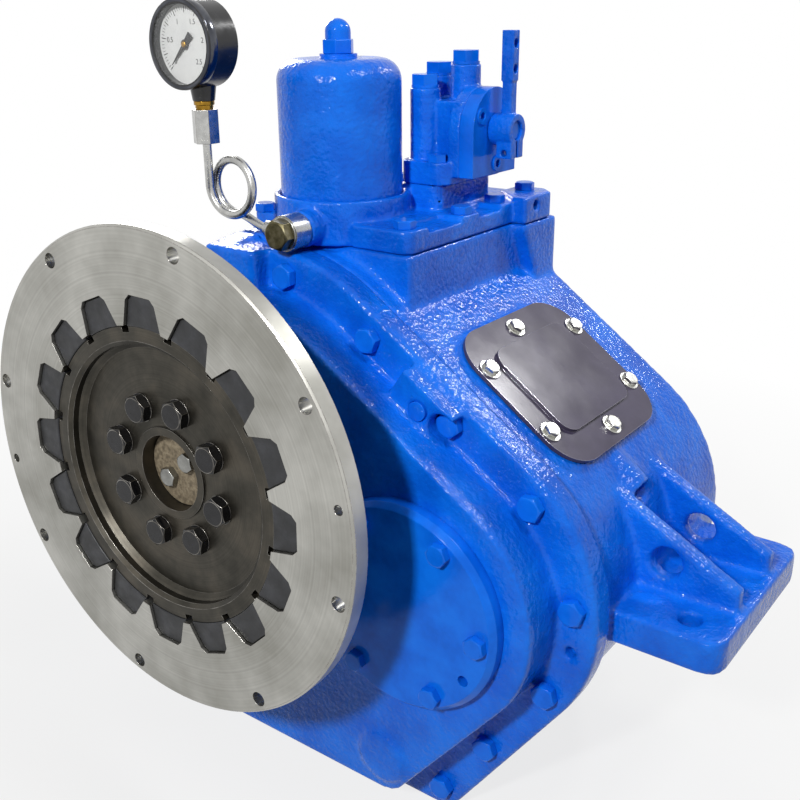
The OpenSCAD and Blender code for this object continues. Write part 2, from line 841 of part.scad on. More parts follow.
module foot(side) {
    foot_y = case_joint_y + 8;
    rib_t = 13;
    rib_gap = 62;
    mid = foot_y + foot_len / 2;
    rib_root_x = 120;
    rib_top = 53;
    rib_end = foot_reach - 6;
    edge = 14;
    hole_x = foot_reach - 59;
    difference() {
        union() {
            translate([side > 0 ? rib_root_x : -foot_reach + edge, foot_y, -foot_top - foot_t])
                cube([foot_reach - rib_root_x - edge, foot_len, foot_t]);
            translate([side * (foot_reach - edge), mid, -foot_top - foot_t]) linear_extrude(foot_t)
                round_rect(2 * edge, foot_len, edge - 1);
            for (y = [mid - rib_gap / 2 - rib_t / 2, mid + rib_gap / 2 - rib_t / 2])
                slab_y(y, y + rib_t) polygon([
                    [side * rib_root_x, -foot_top], [side * rib_root_x, rib_top],
                    [side * rib_end, 16 - foot_top], [side * rib_end, -foot_top]]);
        }
        rod_y([side * hole_x, 22 - foot_top], rib_hole_d / 2, foot_y, foot_y + foot_len);
        for (y = [foot_y + foot_bolt_in[1], foot_y + foot_len - foot_bolt_in[1]])
            translate([side * (foot_reach - foot_bolt_in[0]), y, -foot_top - foot_t - 1])
                cylinder(h = foot_t + 2, d = foot_bolt_d);
    }
}

module upper_box() {
    translate([-box_left, box_y, box_base])
        cube([box_left + box_right, case_rear_y - box_y, cover_z - box_base]);
    slab_x(-box_left - box_flare, box_right + box_flare) polygon([
        [case_rear_y, box_base], [case_rear_y, cover_z], [case_rear_y - flare_top_len, cover_z],
        [case_rear_y - flare_top_len, cover_z - 6], [case_rear_y - flare_foot_len, box_base + 15],
        [case_rear_y - flare_foot_len, box_base]]);
}

module rear_case() {
    rear_y = case_rear_y - box_wall;
    channel_r = 22;
    channel_at = [hatch_s + hatch_len / 2 - 8, hatch_y - 10, slope_z - channel_r];
    channel_len = 42;
    color(blue) difference() {
        union() {
            slab_y(case_joint_y, case_rear_y) belt(wall_circles);
            rod_y(output_at, output_boss_r, case_rear_y, output_rear_y);
            upper_box();
            top_pad(case_joint_y, box_y);
            for (side = [-1, 1]) foot(side);
            on_slope() translate([0, 0, slope_z - 30]) linear_extrude(30 + hatch_pad)
                round_rect(hatch_len + 1, hatch_w + 1, hatch_r);
            rotate([0, slope_tilt, 0]) translate(channel_at) rotate([0, 90, 0])
                cylinder(h = channel_len, r = channel_r);
        }
        difference() {
            union() {
                slab_y(case_joint_y - 1, rear_inner_y) belt(inset(wall_circles, wall_t));
                translate([box_wall - box_left, box_y + box_wall, 0])
                    cube([box_left + box_right - 2 * box_wall, rear_y - box_y - box_wall, cover_z + 1]);
                on_slope() translate([0, 0, slope_z - 40]) linear_extrude(50)
                    round_rect(hatch_hole[0], hatch_hole[1], 12);
            }
            for (at = [input_at, counter_at])
                rod_y(at, bearing_r + bearing_boss, rear_bearing_y - 3, case_rear_y);
            rod_y(output_at, output_bearing_r + bearing_boss, output_seat_y - 3, case_rear_y);
        }
        for (at = [input_at, counter_at]) {
            rod_y(at, bearing_r, rear_bearing_y - 4, case_rear_y + 1);
            on_circle(at, cover_bolt_r, cover_bolt_count, 27)
                rod_y([0, 0], bolt_r + thread_fit, case_rear_y - 20, case_rear_y + 1);
        }
        rod_y(output_at, output_bearing_r, output_seat_y, output_rear_y + 1);
        rod_y(output_at, output_r + 12, rear_inner_y - 6, output_seat_y + 1);
        on_circle(output_at, output_cover_bolt_r, 8, 22.5)
            rod_y([0, 0], bolt_r + thread_fit, output_rear_y - 20, output_rear_y + 1);
        for (p = case_bolt_points) rod_y(p, small_r + thread_fit, case_joint_y - 1, case_joint_y + 18);
        on_slope() for (p = hatch_screws)
            translate([p[0], p[1], hatch_seat - 14]) cylinder(h = 20, r = screw_r + thread_fit);
        for (p = cover_bolts)
            translate([p[0], box_y + p[1], cover_z - cover_thread - 2])
                cylinder(h = 20, r = small_r + thread_fit);
        translate([block_bolt[0], box_y + block_bolt[1], cover_z - cover_thread - 2])
            cylinder(h = 20, r = small_r + thread_fit);
        rod_y(drain_at, 8 + thread_fit, rear_inner_y - 1, case_rear_y + 1);
        rotate([0, slope_tilt, 0]) translate(channel_at + [channel_len - 12, 0, 10]) rotate([0, 90, 0])
            cylinder(h = 20, r = plug_r);
    }
}

module case_bolts() {
    color(blue) for (p = case_bolt_points)
        bolt_y(p, case_flange_y, case_flange_t + 16, small_r, case_af, case_head);
}

// Covers on the front and rear faces

module cover_plate(at, bore) {
    edge = 4;
    spigot = bearing_r - seat_fit;
    difference() {
        turned(at) polygon([
            [bore, cover_face_y], [cover_r - edge, cover_face_y], [cover_r, cover_face_y + edge],
            [cover_r, boss_y], [spigot, boss_y], [spigot, front_bearing_y], [spigot - 8, front_bearing_y],
            [spigot - 8, boss_y - 3], [bore, boss_y - 3]]);
        on_circle(at, cover_bolt_r, cover_bolt_count, -3)
            rod_y([0, 0], small_r + bolt_clear, cover_face_y - 1, boss_y + 1);
    }
}

seal_r = seal_journal_r + 11;

module input_seal_cover() {
    color(blue) cover_plate(input_at, seal_r);
}

module counter_front_cover() {
    spot_angle = -33;
    color(blue) difference() {
        cover_plate(counter_at, 0);
        rod_y(on_arc([[counter_x, counter_z, cover_bolt_r]], 0, spot_angle), screw_r,
            cover_face_y - 1, cover_face_y + 8);
    }
}

module front_cover_bolts() {
    color(blue) for (at = [input_at, counter_at])
        on_circle(at, cover_bolt_r, cover_bolt_count, -3)
            bolt_y([0, 0], cover_face_y, cover_plate_t + 18, small_r, small_af, small_head);
}

module counter_rear_cover() {
    edge = 4;
    color(blue) difference() {
        turned(counter_at) polygon([
            [0, case_rear_y], [rear_cover_r, case_rear_y],
            [rear_cover_r, case_rear_y + rear_cover_t - edge],
            [rear_cover_r - edge, case_rear_y + rear_cover_t], [0, case_rear_y + rear_cover_t]]);
        on_circle(counter_at, cover_bolt_r, cover_bolt_count, 27)
            rod_y([0, 0], bolt_r + bolt_clear, case_rear_y - 1, case_rear_y + rear_cover_t + 1);
    }
}

output_seal_r = output_r + 13;

module output_bearing_cover() {
    edge = 4;
    r = output_boss_r;
    color(blue) difference() {
        turned(output_at) polygon([
            [output_seal_r, output_rear_y - 4], [output_bearing_r - seat_fit, output_rear_y - 4],
            [output_bearing_r - seat_fit, output_rear_y], [r, output_rear_y],
            [r, output_cover_y - edge], [r - edge, output_cover_y], [output_seal_r, output_cover_y]]);
        on_circle(output_at, output_cover_bolt_r, 8, 22.5)
            rod_y([0, 0], bolt_r + bolt_clear, output_rear_y - 1, output_cover_y + 1);
    }
}

module oil_seals() {
    color("#202022") {
        tube_y(input_at, seal_r - seat_fit, seal_journal_r + run_fit, cover_face_y, cover_face_y + 10);
        tube_y(output_at, output_seal_r - seat_fit, output_r + run_fit, output_cover_y - 12, output_cover_y);
    }
}

module rear_bolt(at, seat, len) {
    translate([at[0], seat, at[1]]) mirror([0, 1, 0]) bolt_y([0, 0], 0, len);
}

module rear_cover_bolts() {
    color(blue) {
        for (at = [input_at, counter_at])
            on_circle(at, cover_bolt_r, cover_bolt_count, 27)
                rear_bolt([0, 0], case_rear_y + rear_cover_t, rear_cover_t + 18);
        on_circle(output_at, output_cover_bolt_r, 8, 22.5)
            rear_bolt([0, 0], output_cover_y, output_cover_t + 18);
    }
}

// Gear pump driven by the aft end of the input shaft
module oil_pump() {
    body_r = 50;
    body_t = 48;
    top = case_rear_y + rear_cover_t;
    port_z = 34;
    color(blue) difference() {
        union() {
            rod_y(input_at, rear_cover_r, case_rear_y, top);
            rod_y(input_at, body_r, top, case_rear_y + body_t);
            translate([-24, top, 0]) cube([48, body_t - rear_cover_t, body_r + 3]);
        }
        rod_y(input_at, 12 + run_fit, case_rear_y - 1, case_rear_y + 40 + end_gap);
        rod_y(input_at, journal_r, case_rear_y - 1, case_rear_y + 2);
        translate([0, case_rear_y + 30, port_z]) cylinder(h = 40, r = 8);
        on_circle(input_at, cover_bolt_r, cover_bolt_count, 27)
            rod_y([0, 0], bolt_r + bolt_clear, case_rear_y - 1, top + 1);
    }
}

drain_at = [96, -258];

// Drain plug on the rear face and the oil gallery plug in the front lug
module case_plugs() {
    color(blue) {
        rod_y(lug_at, plug_r, lug_y - 1, lug_y + 8);
        rod_y(drain_at, 8, case_rear_y - 10, case_rear_y + 1);
        hex_y(drain_at, 24, case_rear_y, case_rear_y + 10);
    }
}

// Top cover, filter and inspection cover

module cover_outline() {
    difference() {
        translate([(box_right - box_left) / 2, (case_rear_y - box_y) / 2])
            round_rect(box_left + box_right, case_rear_y - box_y, 9);
        polygon([[-28, -1], [46, -1], [38, 14], [-20, 14]]);
    }
}

module top_cover() {
    block_w = 38;
    block_x = box_right + box_flare;
    block_y = case_rear_y - flare_top_len;
    bevel = 12;
    dip = 4;
    color(blue) difference() {
        union() {
            translate([0, box_y, cover_z]) linear_extrude(cover_t) cover_outline();
            translate([0, 0, cover_z]) linear_extrude(block_top - cover_z) polygon([
                [block_x, block_y], [block_x, case_rear_y - bevel], [block_x - bevel, case_rear_y],
                [block_x - block_w, case_rear_y], [block_x - block_w, block_y + 2 * bevel],
                [block_x - bevel, block_y]]);
            translate([filter_at[0], filter_at[1], cover_z]) cylinder(h = collar_top - cover_z, r = collar_r);
            rod_y([banjo_x, banjo_z], banjo_boss_r, banjo_boss_y, filter_at[1] - 20);
            translate([(valve_x[0] + pedestal_x) / 2, (valve_y[0] + pedestal_y) / 2, cover_top - dip])
                linear_extrude(pedestal_top - cover_top + dip)
                round_rect(pedestal_x - valve_x[0], pedestal_y - valve_y[0], 9);
        }
        for (i = [0, 1])
            translate([pedestal_x + 4, box_y + cover_bolts[i][1] + bevel, cover_top - dip])
                cube([box_right, cover_bolts[i + 1][1] - cover_bolts[i][1] - 2 * bevel, dip + 1]);
        translate([filter_at[0], filter_at[1], filter_base_z])
            cylinder(h = 20, r = filter_r + 0.6);
        translate([filter_at[0], filter_at[1], cover_z - 1]) cylinder(h = 40, r = small_r + thread_fit);
        rod_y([banjo_x, banjo_z], stem_r + thread_fit, banjo_boss_y - 1, filter_at[1] - 24);
        for (p = cover_bolts)
            translate([p[0], box_y + p[1], cover_z - 1]) cylinder(h = 60, r = small_r + bolt_clear);
        translate([block_bolt[0], box_y + block_bolt[1], cover_z - 1])
            cylinder(h = 60, r = small_r + bolt_clear);
        rod_x(block_y + 18, cover_z + 13, screw_r, block_x - 10, block_x + 1);
        for (p = valve_bolts)
            translate([p[0], p[1], pedestal_top - 14]) cylinder(h = 20, r = screw_r + thread_fit);
    }
}

module top_cover_bolts() {
    color(blue) {
        for (p = cover_bolts) bolt_z([p[0], box_y + p[1]], cover_top, cover_t + cover_thread);
        bolt_z([block_bolt[0], box_y + block_bolt[1]], block_top, block_top - cover_z + cover_thread);
    }
}

module filter_canister() {
    r = filter_r;
    dome = 16;
    inner = r - filter_wall;
    neck = 14;
    color(blue) difference() {
        turned_z(filter_at) union() {
            translate([0, filter_base_z]) square([r, filter_h - dome]);
            translate([0, filter_base_z]) square([r - dome, filter_h]);
            translate([r - dome, filter_top - dome]) circle(r = dome);
            translate([0, filter_top - 1]) square([neck, nut_z - filter_top + 1]);
        }
        translate([filter_at[0], filter_at[1], filter_base_z - 1])
            cylinder(h = filter_h - dome + 1, r = inner);
        translate([filter_at[0], filter_at[1], filter_base_z])
            cylinder(h = filter_h + 20, r = small_r + bolt_clear);
        rod_x(filter_at[1], filter_base_z + 58, screw_r, filter_at[0] - r - 5, filter_at[0] - inner + 1);
    }
}

module filter_element() {
    color("#c8b890") difference() {
        translate([filter_at[0], filter_at[1], filter_base_z]) cylinder(h = filter_h - 18, r = filter_r - 9);
        translate([filter_at[0], filter_at[1], filter_base_z - 1])
            cylinder(h = filter_h, r = small_r + bolt_clear);
    }
}

// Long bolt through the canister, with a domed hexagon head
module filter_centre_bolt() {
    dome_r = nut_af / 2 - 1;
    color(blue) {
        hex_z(filter_at, nut_af, nut_z, nut_z + 10);
        turned_z(filter_at) intersection() {
            union() {
                translate([0, nut_z + 9]) square([dome_r, 6]);
                translate([0, nut_z + 15]) circle(r = dome_r);
            }
            translate([0, nut_z + 9]) square([dome_r, 40]);
        }
        translate([filter_at[0], filter_at[1], cover_z + 2]) cylinder(h = nut_z - cover_z - 1, r = small_r);
    }
}

module inspection_gasket() {
    color("#1d1d20") on_slope() translate([0, 0, hatch_seat]) linear_extrude(gasket_t) difference() {
        round_rect(hatch_len - 2, hatch_w - 2, hatch_r - 1);
        round_rect(hatch_hole[0], hatch_hole[1], 12);
        for (p = hatch_screws) translate(p) circle(r = screw_r + bolt_clear);
    }
}

module inspection_cover() {
    panel_t = 3;
    z0 = hatch_seat + gasket_t;
    color("#625d70") on_slope() difference() {
        union() {
            translate([0, 0, z0]) linear_extrude(hatch_t) round_rect(hatch_len, hatch_w, hatch_r);
            translate([0, 0, z0 + hatch_t - 1]) linear_extrude(panel_t + 1)
                round_rect(hatch_len - panel_in[0], hatch_w - panel_in[1], 13);
        }
        for (p = hatch_screws)
            translate([p[0], p[1], z0 - 1]) cylinder(h = 20, r = screw_r + bolt_clear);
    }
}

module inspection_screws() {
    seat = hatch_seat + gasket_t + hatch_t;
    washer = 1.2;
    head = 4;
    color("#d0d0cc") on_slope() for (p = hatch_screws) {
        translate([p[0], p[1], seat]) cylinder(h = washer, r = 8);
        translate([0, 0, washer]) bolt_z(p, seat, washer + hatch_t + gasket_t + 12, screw_r, screw_af, head);
    }
}

// Pressure gauge and its pipe

module banjo_washers() {
    color("#b06a3c") for (y = [banjo_boss_y - washer_t, eye_y - washer_t])
        tube_y([banjo_x, banjo_z], eye_r - 1, stem_r + bolt_clear, y, y + washer_t);
}

module banjo_eye() {
    socket = pipe_r + 2.5;
    color(steel) difference() {
        union() {
            rod_y([banjo_x, banjo_z], eye_r, eye_y, eye_y + eye_w);
            rod_x(eye_mid, banjo_z, socket, socket_end, banjo_x);
        }
        rod_y([banjo_x, banjo_z], stem_r + bolt_clear, eye_y - 1, eye_y + eye_w + 1);
        rod_x(eye_mid, banjo_z, pipe_r + seat_fit, socket_end - 1, banjo_x - eye_r + 1);
    }
}

module banjo_bolt() {
    seat = eye_y - washer_t;
    color("#6e6a50") bolt_y([banjo_x, banjo_z], seat, banjo_boss_y - seat + 14, stem_r, banjo_af, banjo_head);
}

// Round tube swept along a route, with its rings square to the path
function unit(v) = v / norm(v);
function heading(route, i) =
    unit(route[min(i + 1, len(route) - 1)] - route[max(i - 1, 0)]);
function route_ring(route, i) =
    let (
        ahead = heading(route, i),
        side = unit(cross(ahead, [0, 1, 0.02])),
        up = cross(side, ahead))
    [for (k = [0:pipe_sides - 1])
        route[i] + pipe_r * (cos(360 * k / pipe_sides) * side + sin(360 * k / pipe_sides) * up)];

module gauge_pipe() {
    last = len(pipe_route) - 1;
    n = pipe_sides;
    color(steel) polyhedron(
        points = [for (i = [0:last]) each route_ring(pipe_route, i)],
        faces = concat(
            [[for (k = [0:n - 1]) k]],
            [for (i = [0:last - 1], k = [0:n - 1])
                [i * n + k, (i + 1) * n + k, (i + 1) * n + (k + 1) % n, i * n + (k + 1) % n]],
            [[for (k = [n - 1:-1:0]) last * n + k]]));
}

module pipe_nut() {
    color(steel) difference() {
        hex_z([leg_x, leg_y], pipe_nut_af, nut_z0, nut_z0 + pipe_nut_h);
        translate([leg_x, leg_y, nut_z0 - 1]) cylinder(h = 10, r = pipe_r + seat_fit);
        translate([leg_x, leg_y, nut_z0 + 12]) cylinder(h = pipe_nut_h, r = stem_r + thread_fit);
    }
}

stem_base = nut_z0 + 13;
socket_z = nut_z0 + pipe_nut_h + 6;
socket_depth = 5;

// Threaded stem between the nut and the gauge, with a turned collar
module gauge_stem() {
    color("#b08d3c") {
        translate([leg_x, leg_y, stem_base]) cylinder(h = socket_z + socket_depth - stem_base, r = stem_r);
        translate([leg_x, leg_y, socket_z - 3]) cylinder(h = 3, r = stem_r + 1);
    }
}

module gauge_case() {
    bezel = gauge_r + 0.6;
    color("#1f1f21") difference() {
        union() {
            rod_y([leg_x, gauge_z], gauge_r, gauge_y, gauge_y + gauge_depth);
            rod_y([leg_x, gauge_z], bezel, gauge_y, gauge_y + 8);
            translate([leg_x, leg_y, socket_z])
                cylinder(h = gauge_z - gauge_r + 4 - socket_z, r1 = stem_r + 1.5, r2 = gauge_depth - 18);
        }
        rod_y([leg_x, gauge_z], gauge_r - 3, gauge_y - 1, gauge_y + gauge_depth - 3);
        translate([leg_x, leg_y, socket_z - 1]) cylinder(h = socket_depth + 1.5, r = stem_r + thread_fit);
    }
}

module gauge_dial() {
    color("white") difference() {
        rod_y([leg_x, gauge_z], gauge_r - 3 - seat_fit, dial_y, dial_y + 1.5);
        rod_y([leg_x, gauge_z], 2 + run_fit, dial_y - 1, dial_y + 2);
    }
}

module gauge_glass() {
    color([0.8, 0.9, 1, 0.3])
        rod_y([leg_x, gauge_z], gauge_r - 3 - seat_fit, gauge_y + 1, gauge_y + 2.5);
}

// Pointer at zero, down to the left, on its spindle through the dial
module gauge_pointer() {
    zero = 225;
    tip = gauge_r - 10;
    color("black") {
        slab_y(dial_y - 2.2, dial_y - 1.2) translate([leg_x, gauge_z]) rotate(zero) {
            polygon([[0, -1.6], [tip, 0], [0, 1.6], [-9, 2.6], [-9, -2.6]]);
            circle(r = 3.2);
        }
        rod_y([leg_x, gauge_z], 2, dial_y - 2.2, dial_y + 8);
    }
}

// Control valve

valve_bolts = [[66, 245], [41, pedestal_y - 9], [63, pedestal_y - 9]];

module plate_shape() {
    translate([lever_y, lever_z]) {
        circle(r = plate_r);
        translate([-plate_r, -plate_foot]) square([2 * plate_r, plate_foot]);
    }
}

plate_screws = [[lever_y - 20, lever_z + 11], [lever_y + 16, lever_z + 11], [lever_y + 3, lever_z - 26]];

module valve_body() {
    mid = [(valve_x[0] + valve_x[1]) / 2, (valve_y[0] + valve_y[1]) / 2];
    size = [valve_x[1] - valve_x[0], valve_y[1] - valve_y[0]];
    color(blue) difference() {
        union() {
            translate([mid[0], mid[1], pedestal_top]) linear_extrude(valve_flange_top - pedestal_top)
                round_rect(size[0], size[1], 12);
            translate([columns[2][0] - 2, columns[0][1] - 2, valve_flange_top - 1])
                cube([plate_x - columns[2][0], 48, lever_z + 22 - valve_flange_top]);
            translate([valve_x[0] - 13, columns[2][1] - 11, valve_flange_top + 10])
                cube([18, 20, columns[2][3] - valve_flange_top - 14]);
            slab_x(plate_x - 10, plate_x) plate_shape();
            for (c = columns)
                translate([c[0], c[1], pedestal_top]) cylinder(h = c[3] - pedestal_top, r = c[2]);
        }
        rod_x(lever_y, lever_z, spindle_r + run_fit, plate_x - 40, plate_x + 1);
        for (p = valve_bolts)
            translate([p[0], p[1], pedestal_top - 1]) cylinder(h = 20, r = screw_r + bolt_clear);
        for (p = plate_screws) rod_x(p[0], p[1], screw_r + thread_fit, plate_x - 14, plate_x + 1);
        for (c = columns)
            translate([c[0], c[1], c[3] - 14]) cylinder(h = 20, r = 8 + thread_fit);
    }
}

// Hexagon plugs in the valve columns and in the side of the filter
module valve_plugs() {
    color(blue) {
        for (c = columns) {
            translate([c[0], c[1], c[3]]) cylinder(h = 2, r = c[2] - 1);
            bolt_z([c[0], c[1]], c[3] + 2, 14, 8, plug_af, plug_h - 2);
        }
        rod_x(filter_at[1], filter_base_z + 58, screw_r - thread_fit, filter_at[0] - filter_r - 1,
            filter_at[0] - filter_r + filter_wall);
        translate([filter_at[0] - filter_r - 6, filter_at[1], filter_base_z + 58]) rotate([0, 90, 0])
            cylinder(h = 6, d = screw_af / cos(30), $fn = 6);
    }
}

module valve_end_plate() {
    color(blue) difference() {
        slab_x(plate_x, plate_x + plate_t) plate_shape();
        rod_x(lever_y, lever_z, spindle_r + run_fit, plate_x - 1, plate_x + plate_t + 1);
        for (p = plate_screws) rod_x(p[0], p[1], screw_r + bolt_clear, plate_x - 1, plate_x + plate_t + 1);
    }
}

module valve_screws() {
    socket = 6;
    color(blue) {
        for (p = plate_screws) difference() {
            union() {
                rod_x(p[0], p[1], screw_r, plate_x - 12, plate_x + plate_t);
                rod_x(p[0], p[1], 6, plate_x + plate_t, plate_x + plate_t + 1.5);
            }
            translate([plate_x + plate_t - 2, p[0], p[1]]) rotate([0, 90, 0])
                cylinder(h = 6, d = socket / cos(30), $fn = 6);
        }
        for (p = valve_bolts)
            bolt_z(p, valve_flange_top, valve_flange_top - pedestal_top + 12, screw_r, screw_af, screw_head);
    }
}

module control_spindle() {
    color(steel) rod_x(lever_y, lever_z, spindle_r, plate_x - 38, lever_x + lever_hub_w - 2);
}

// Lever with a split clamp hub and a flat end drilled for the control cable
module control_lever() {
    neck = [8, 8.5];
    bar = [10, 9];
    bar_z = lever_z + lever_len / 2;
    top = lever_z + lever_len;
    lug_z = lever_z - lever_hub_r - 8.5;
    x0 = lever_x + 6;
    color(blue) difference() {
        union() {
            rod_x(lever_y, lever_z, lever_hub_r, lever_x, lever_x + lever_hub_w);
            translate([x0 + 1, lever_y - neck[1] / 2, lever_z]) cube([neck[0], neck[1], bar_z - lever_z + 1]);
            translate([x0, lever_y - bar[1] / 2, bar_z]) cube([bar[0], bar[1], top - bar_z]);
            translate([x0, lever_y - 9, lug_z]) cube([lever_hub_w - 6, 18, lever_hub_r]);
        }
        rod_x(lever_y, lever_z, spindle_r + seat_fit, lever_x - 1, lever_x + lever_hub_w + 1);
        translate([x0 - 4, lever_y - 1, lug_z - 1]) cube([lever_hub_w + 6, 2, lever_hub_r + 2]);
        for (z = [top - 9, top - 27]) rod_x(lever_y, z, 3.2, x0 - 1, x0 + bar[0] + 1);
        translate([x0 + 6.5, lever_y + 20, lug_z + 4]) rotate([90, 0, 0]) cylinder(h = 40, r = 2.5);
    }
}

driving_ring();
rubber_blocks();
coupling_hub();
hub_bolts();
hub_end_plate();
end_plate_screws();
input_shaft();
input_gear();
forward_clutch_drum();
forward_clutch_plates();
forward_pinion();
counter_shaft();
counter_gear();
reverse_clutch_drum();
reverse_clutch_plates();
reverse_pinion();
output_shaft();
output_wheel();
output_flange();
output_nut();
bearing_outer_rings();
input_bearing_inner_rings();
counter_bearing_inner_rings();
output_bearing_inner_rings();
front_case();
rear_case();
case_bolts();
input_seal_cover();
counter_front_cover();
front_cover_bolts();
counter_rear_cover();
output_bearing_cover();
oil_seals();
rear_cover_bolts();
oil_pump();
case_plugs();
top_cover();
top_cover_bolts();
filter_canister();
filter_element();
filter_centre_bolt();
inspection_cover();
inspection_gasket();
inspection_screws();
banjo_bolt();
banjo_eye();
banjo_washers();
gauge_pipe();
pipe_nut();
gauge_stem();
gauge_case();
gauge_dial();
gauge_glass();
gauge_pointer();
valve_body();
valve_plugs();
valve_end_plate();
valve_screws();
control_spindle();
control_lever();
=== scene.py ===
import bmesh
import bpy
import json
import math
from mathutils import Matrix, Vector

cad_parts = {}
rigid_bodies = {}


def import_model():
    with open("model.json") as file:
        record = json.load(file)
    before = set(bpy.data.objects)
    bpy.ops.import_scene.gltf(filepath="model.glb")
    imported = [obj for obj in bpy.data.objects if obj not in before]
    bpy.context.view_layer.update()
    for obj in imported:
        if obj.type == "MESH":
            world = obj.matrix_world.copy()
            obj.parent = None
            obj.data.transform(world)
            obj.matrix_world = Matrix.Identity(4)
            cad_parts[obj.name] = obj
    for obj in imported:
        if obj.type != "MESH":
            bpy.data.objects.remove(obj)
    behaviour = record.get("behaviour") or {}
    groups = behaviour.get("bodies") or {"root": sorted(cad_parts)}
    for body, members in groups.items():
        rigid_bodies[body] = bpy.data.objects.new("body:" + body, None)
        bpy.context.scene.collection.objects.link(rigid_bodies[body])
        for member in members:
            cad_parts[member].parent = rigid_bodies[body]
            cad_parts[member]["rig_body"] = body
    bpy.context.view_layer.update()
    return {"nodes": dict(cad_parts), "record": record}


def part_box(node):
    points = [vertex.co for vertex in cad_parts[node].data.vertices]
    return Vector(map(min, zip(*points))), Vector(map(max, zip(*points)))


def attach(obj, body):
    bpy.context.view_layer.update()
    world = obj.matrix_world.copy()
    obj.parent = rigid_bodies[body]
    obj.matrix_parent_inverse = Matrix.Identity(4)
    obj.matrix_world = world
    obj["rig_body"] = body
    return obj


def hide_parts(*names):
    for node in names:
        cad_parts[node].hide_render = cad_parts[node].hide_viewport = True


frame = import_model()
nodes = frame["nodes"]
slotOf = {part["node"]: part["material_slot"] for part in frame["record"]["subparts"]}
scene = bpy.context.scene
scene.view_settings.view_transform = "Standard"
mm = 0.001
print("frame loaded:", len(nodes), "nodes")

# camera at the photograph's viewing angle
cameraView = {
    "azimuth": 37.23, "elevation": 20.98, "roll": -0.67,
    "at": (0.5179, -0.4156, 0.3064), "lens": 46.61, "sensor": 36, "shift": (0.0154, -0.0037),
    "nearest": 0.01}


def placeCamera(view):
    azimuth, elevation, roll = (math.radians(view[key]) for key in ("azimuth", "elevation", "roll"))
    right = Vector((math.cos(azimuth), math.sin(azimuth), 0))
    back = Vector((
        math.sin(azimuth) * math.cos(elevation), -math.cos(azimuth) * math.cos(elevation),
        math.sin(elevation)))
    up = back.cross(right)
    turnedRight = right * math.cos(roll) + up * math.sin(roll)
    turnedUp = back.cross(turnedRight)
    data = bpy.data.cameras.new("photoCamera")
    data.lens = view["lens"]
    data.sensor_width = view["sensor"]
    data.shift_x, data.shift_y = view["shift"]
    data.clip_start = view["nearest"]
    camera = bpy.data.objects.new("photoCamera", data)
    axes = Matrix((turnedRight, turnedUp, back)).transposed()
    camera.matrix_world = Matrix.Translation(view["at"]) @ axes.to_4x4()
    scene.collection.objects.link(camera)
    scene.camera = camera


placeCamera(cameraView)
print("camera placed")


# materials

# sRGB hex code to a linear colour
def linear(code):
    channels = [int(code[i:i + 2], 16) / 255 for i in (1, 3, 5)]
    return tuple(c / 12.92 if c <= 0.04045 else ((c + 0.055) / 1.055) ** 2.4 for c in channels) + (1,)


# adds one node: a node or socket is linked, a list links each of its items, any other value is set
def addNode(tree, kind, values={}):
    node = tree.nodes.new(kind)
    modes = [key for key in values if isinstance(key, str) and hasattr(node, key)]
    for key in modes:
        setattr(node, key, values[key])
    for key, value in values.items():
        if key in modes:
            continue
        for source in value if isinstance(value, list) else [value]:
            if isinstance(source, bpy.types.Node):
                source = source.outputs[0]
            if isinstance(source, bpy.types.NodeSocket):
                tree.links.new(source, node.inputs[key])
            else:
                node.inputs[key].default_value = source
    return node


def perMetre(size):
    return 1 / (size * mm)  # texture scale that makes one feature this many millimetres wide


noiseLow, noiseHigh = 0.3, 0.7  # most of a noise texture's values lie between these
toneLow, toneHigh = 0.35, 0.65  # noise values at the first and the last tone
patchNoise = {"Detail": 4, "Roughness": 0.6}
speckFade = 0.05  # noise step over which a speck fades in
wearPart = 0.6  # size of a wear mark against a patch of tone


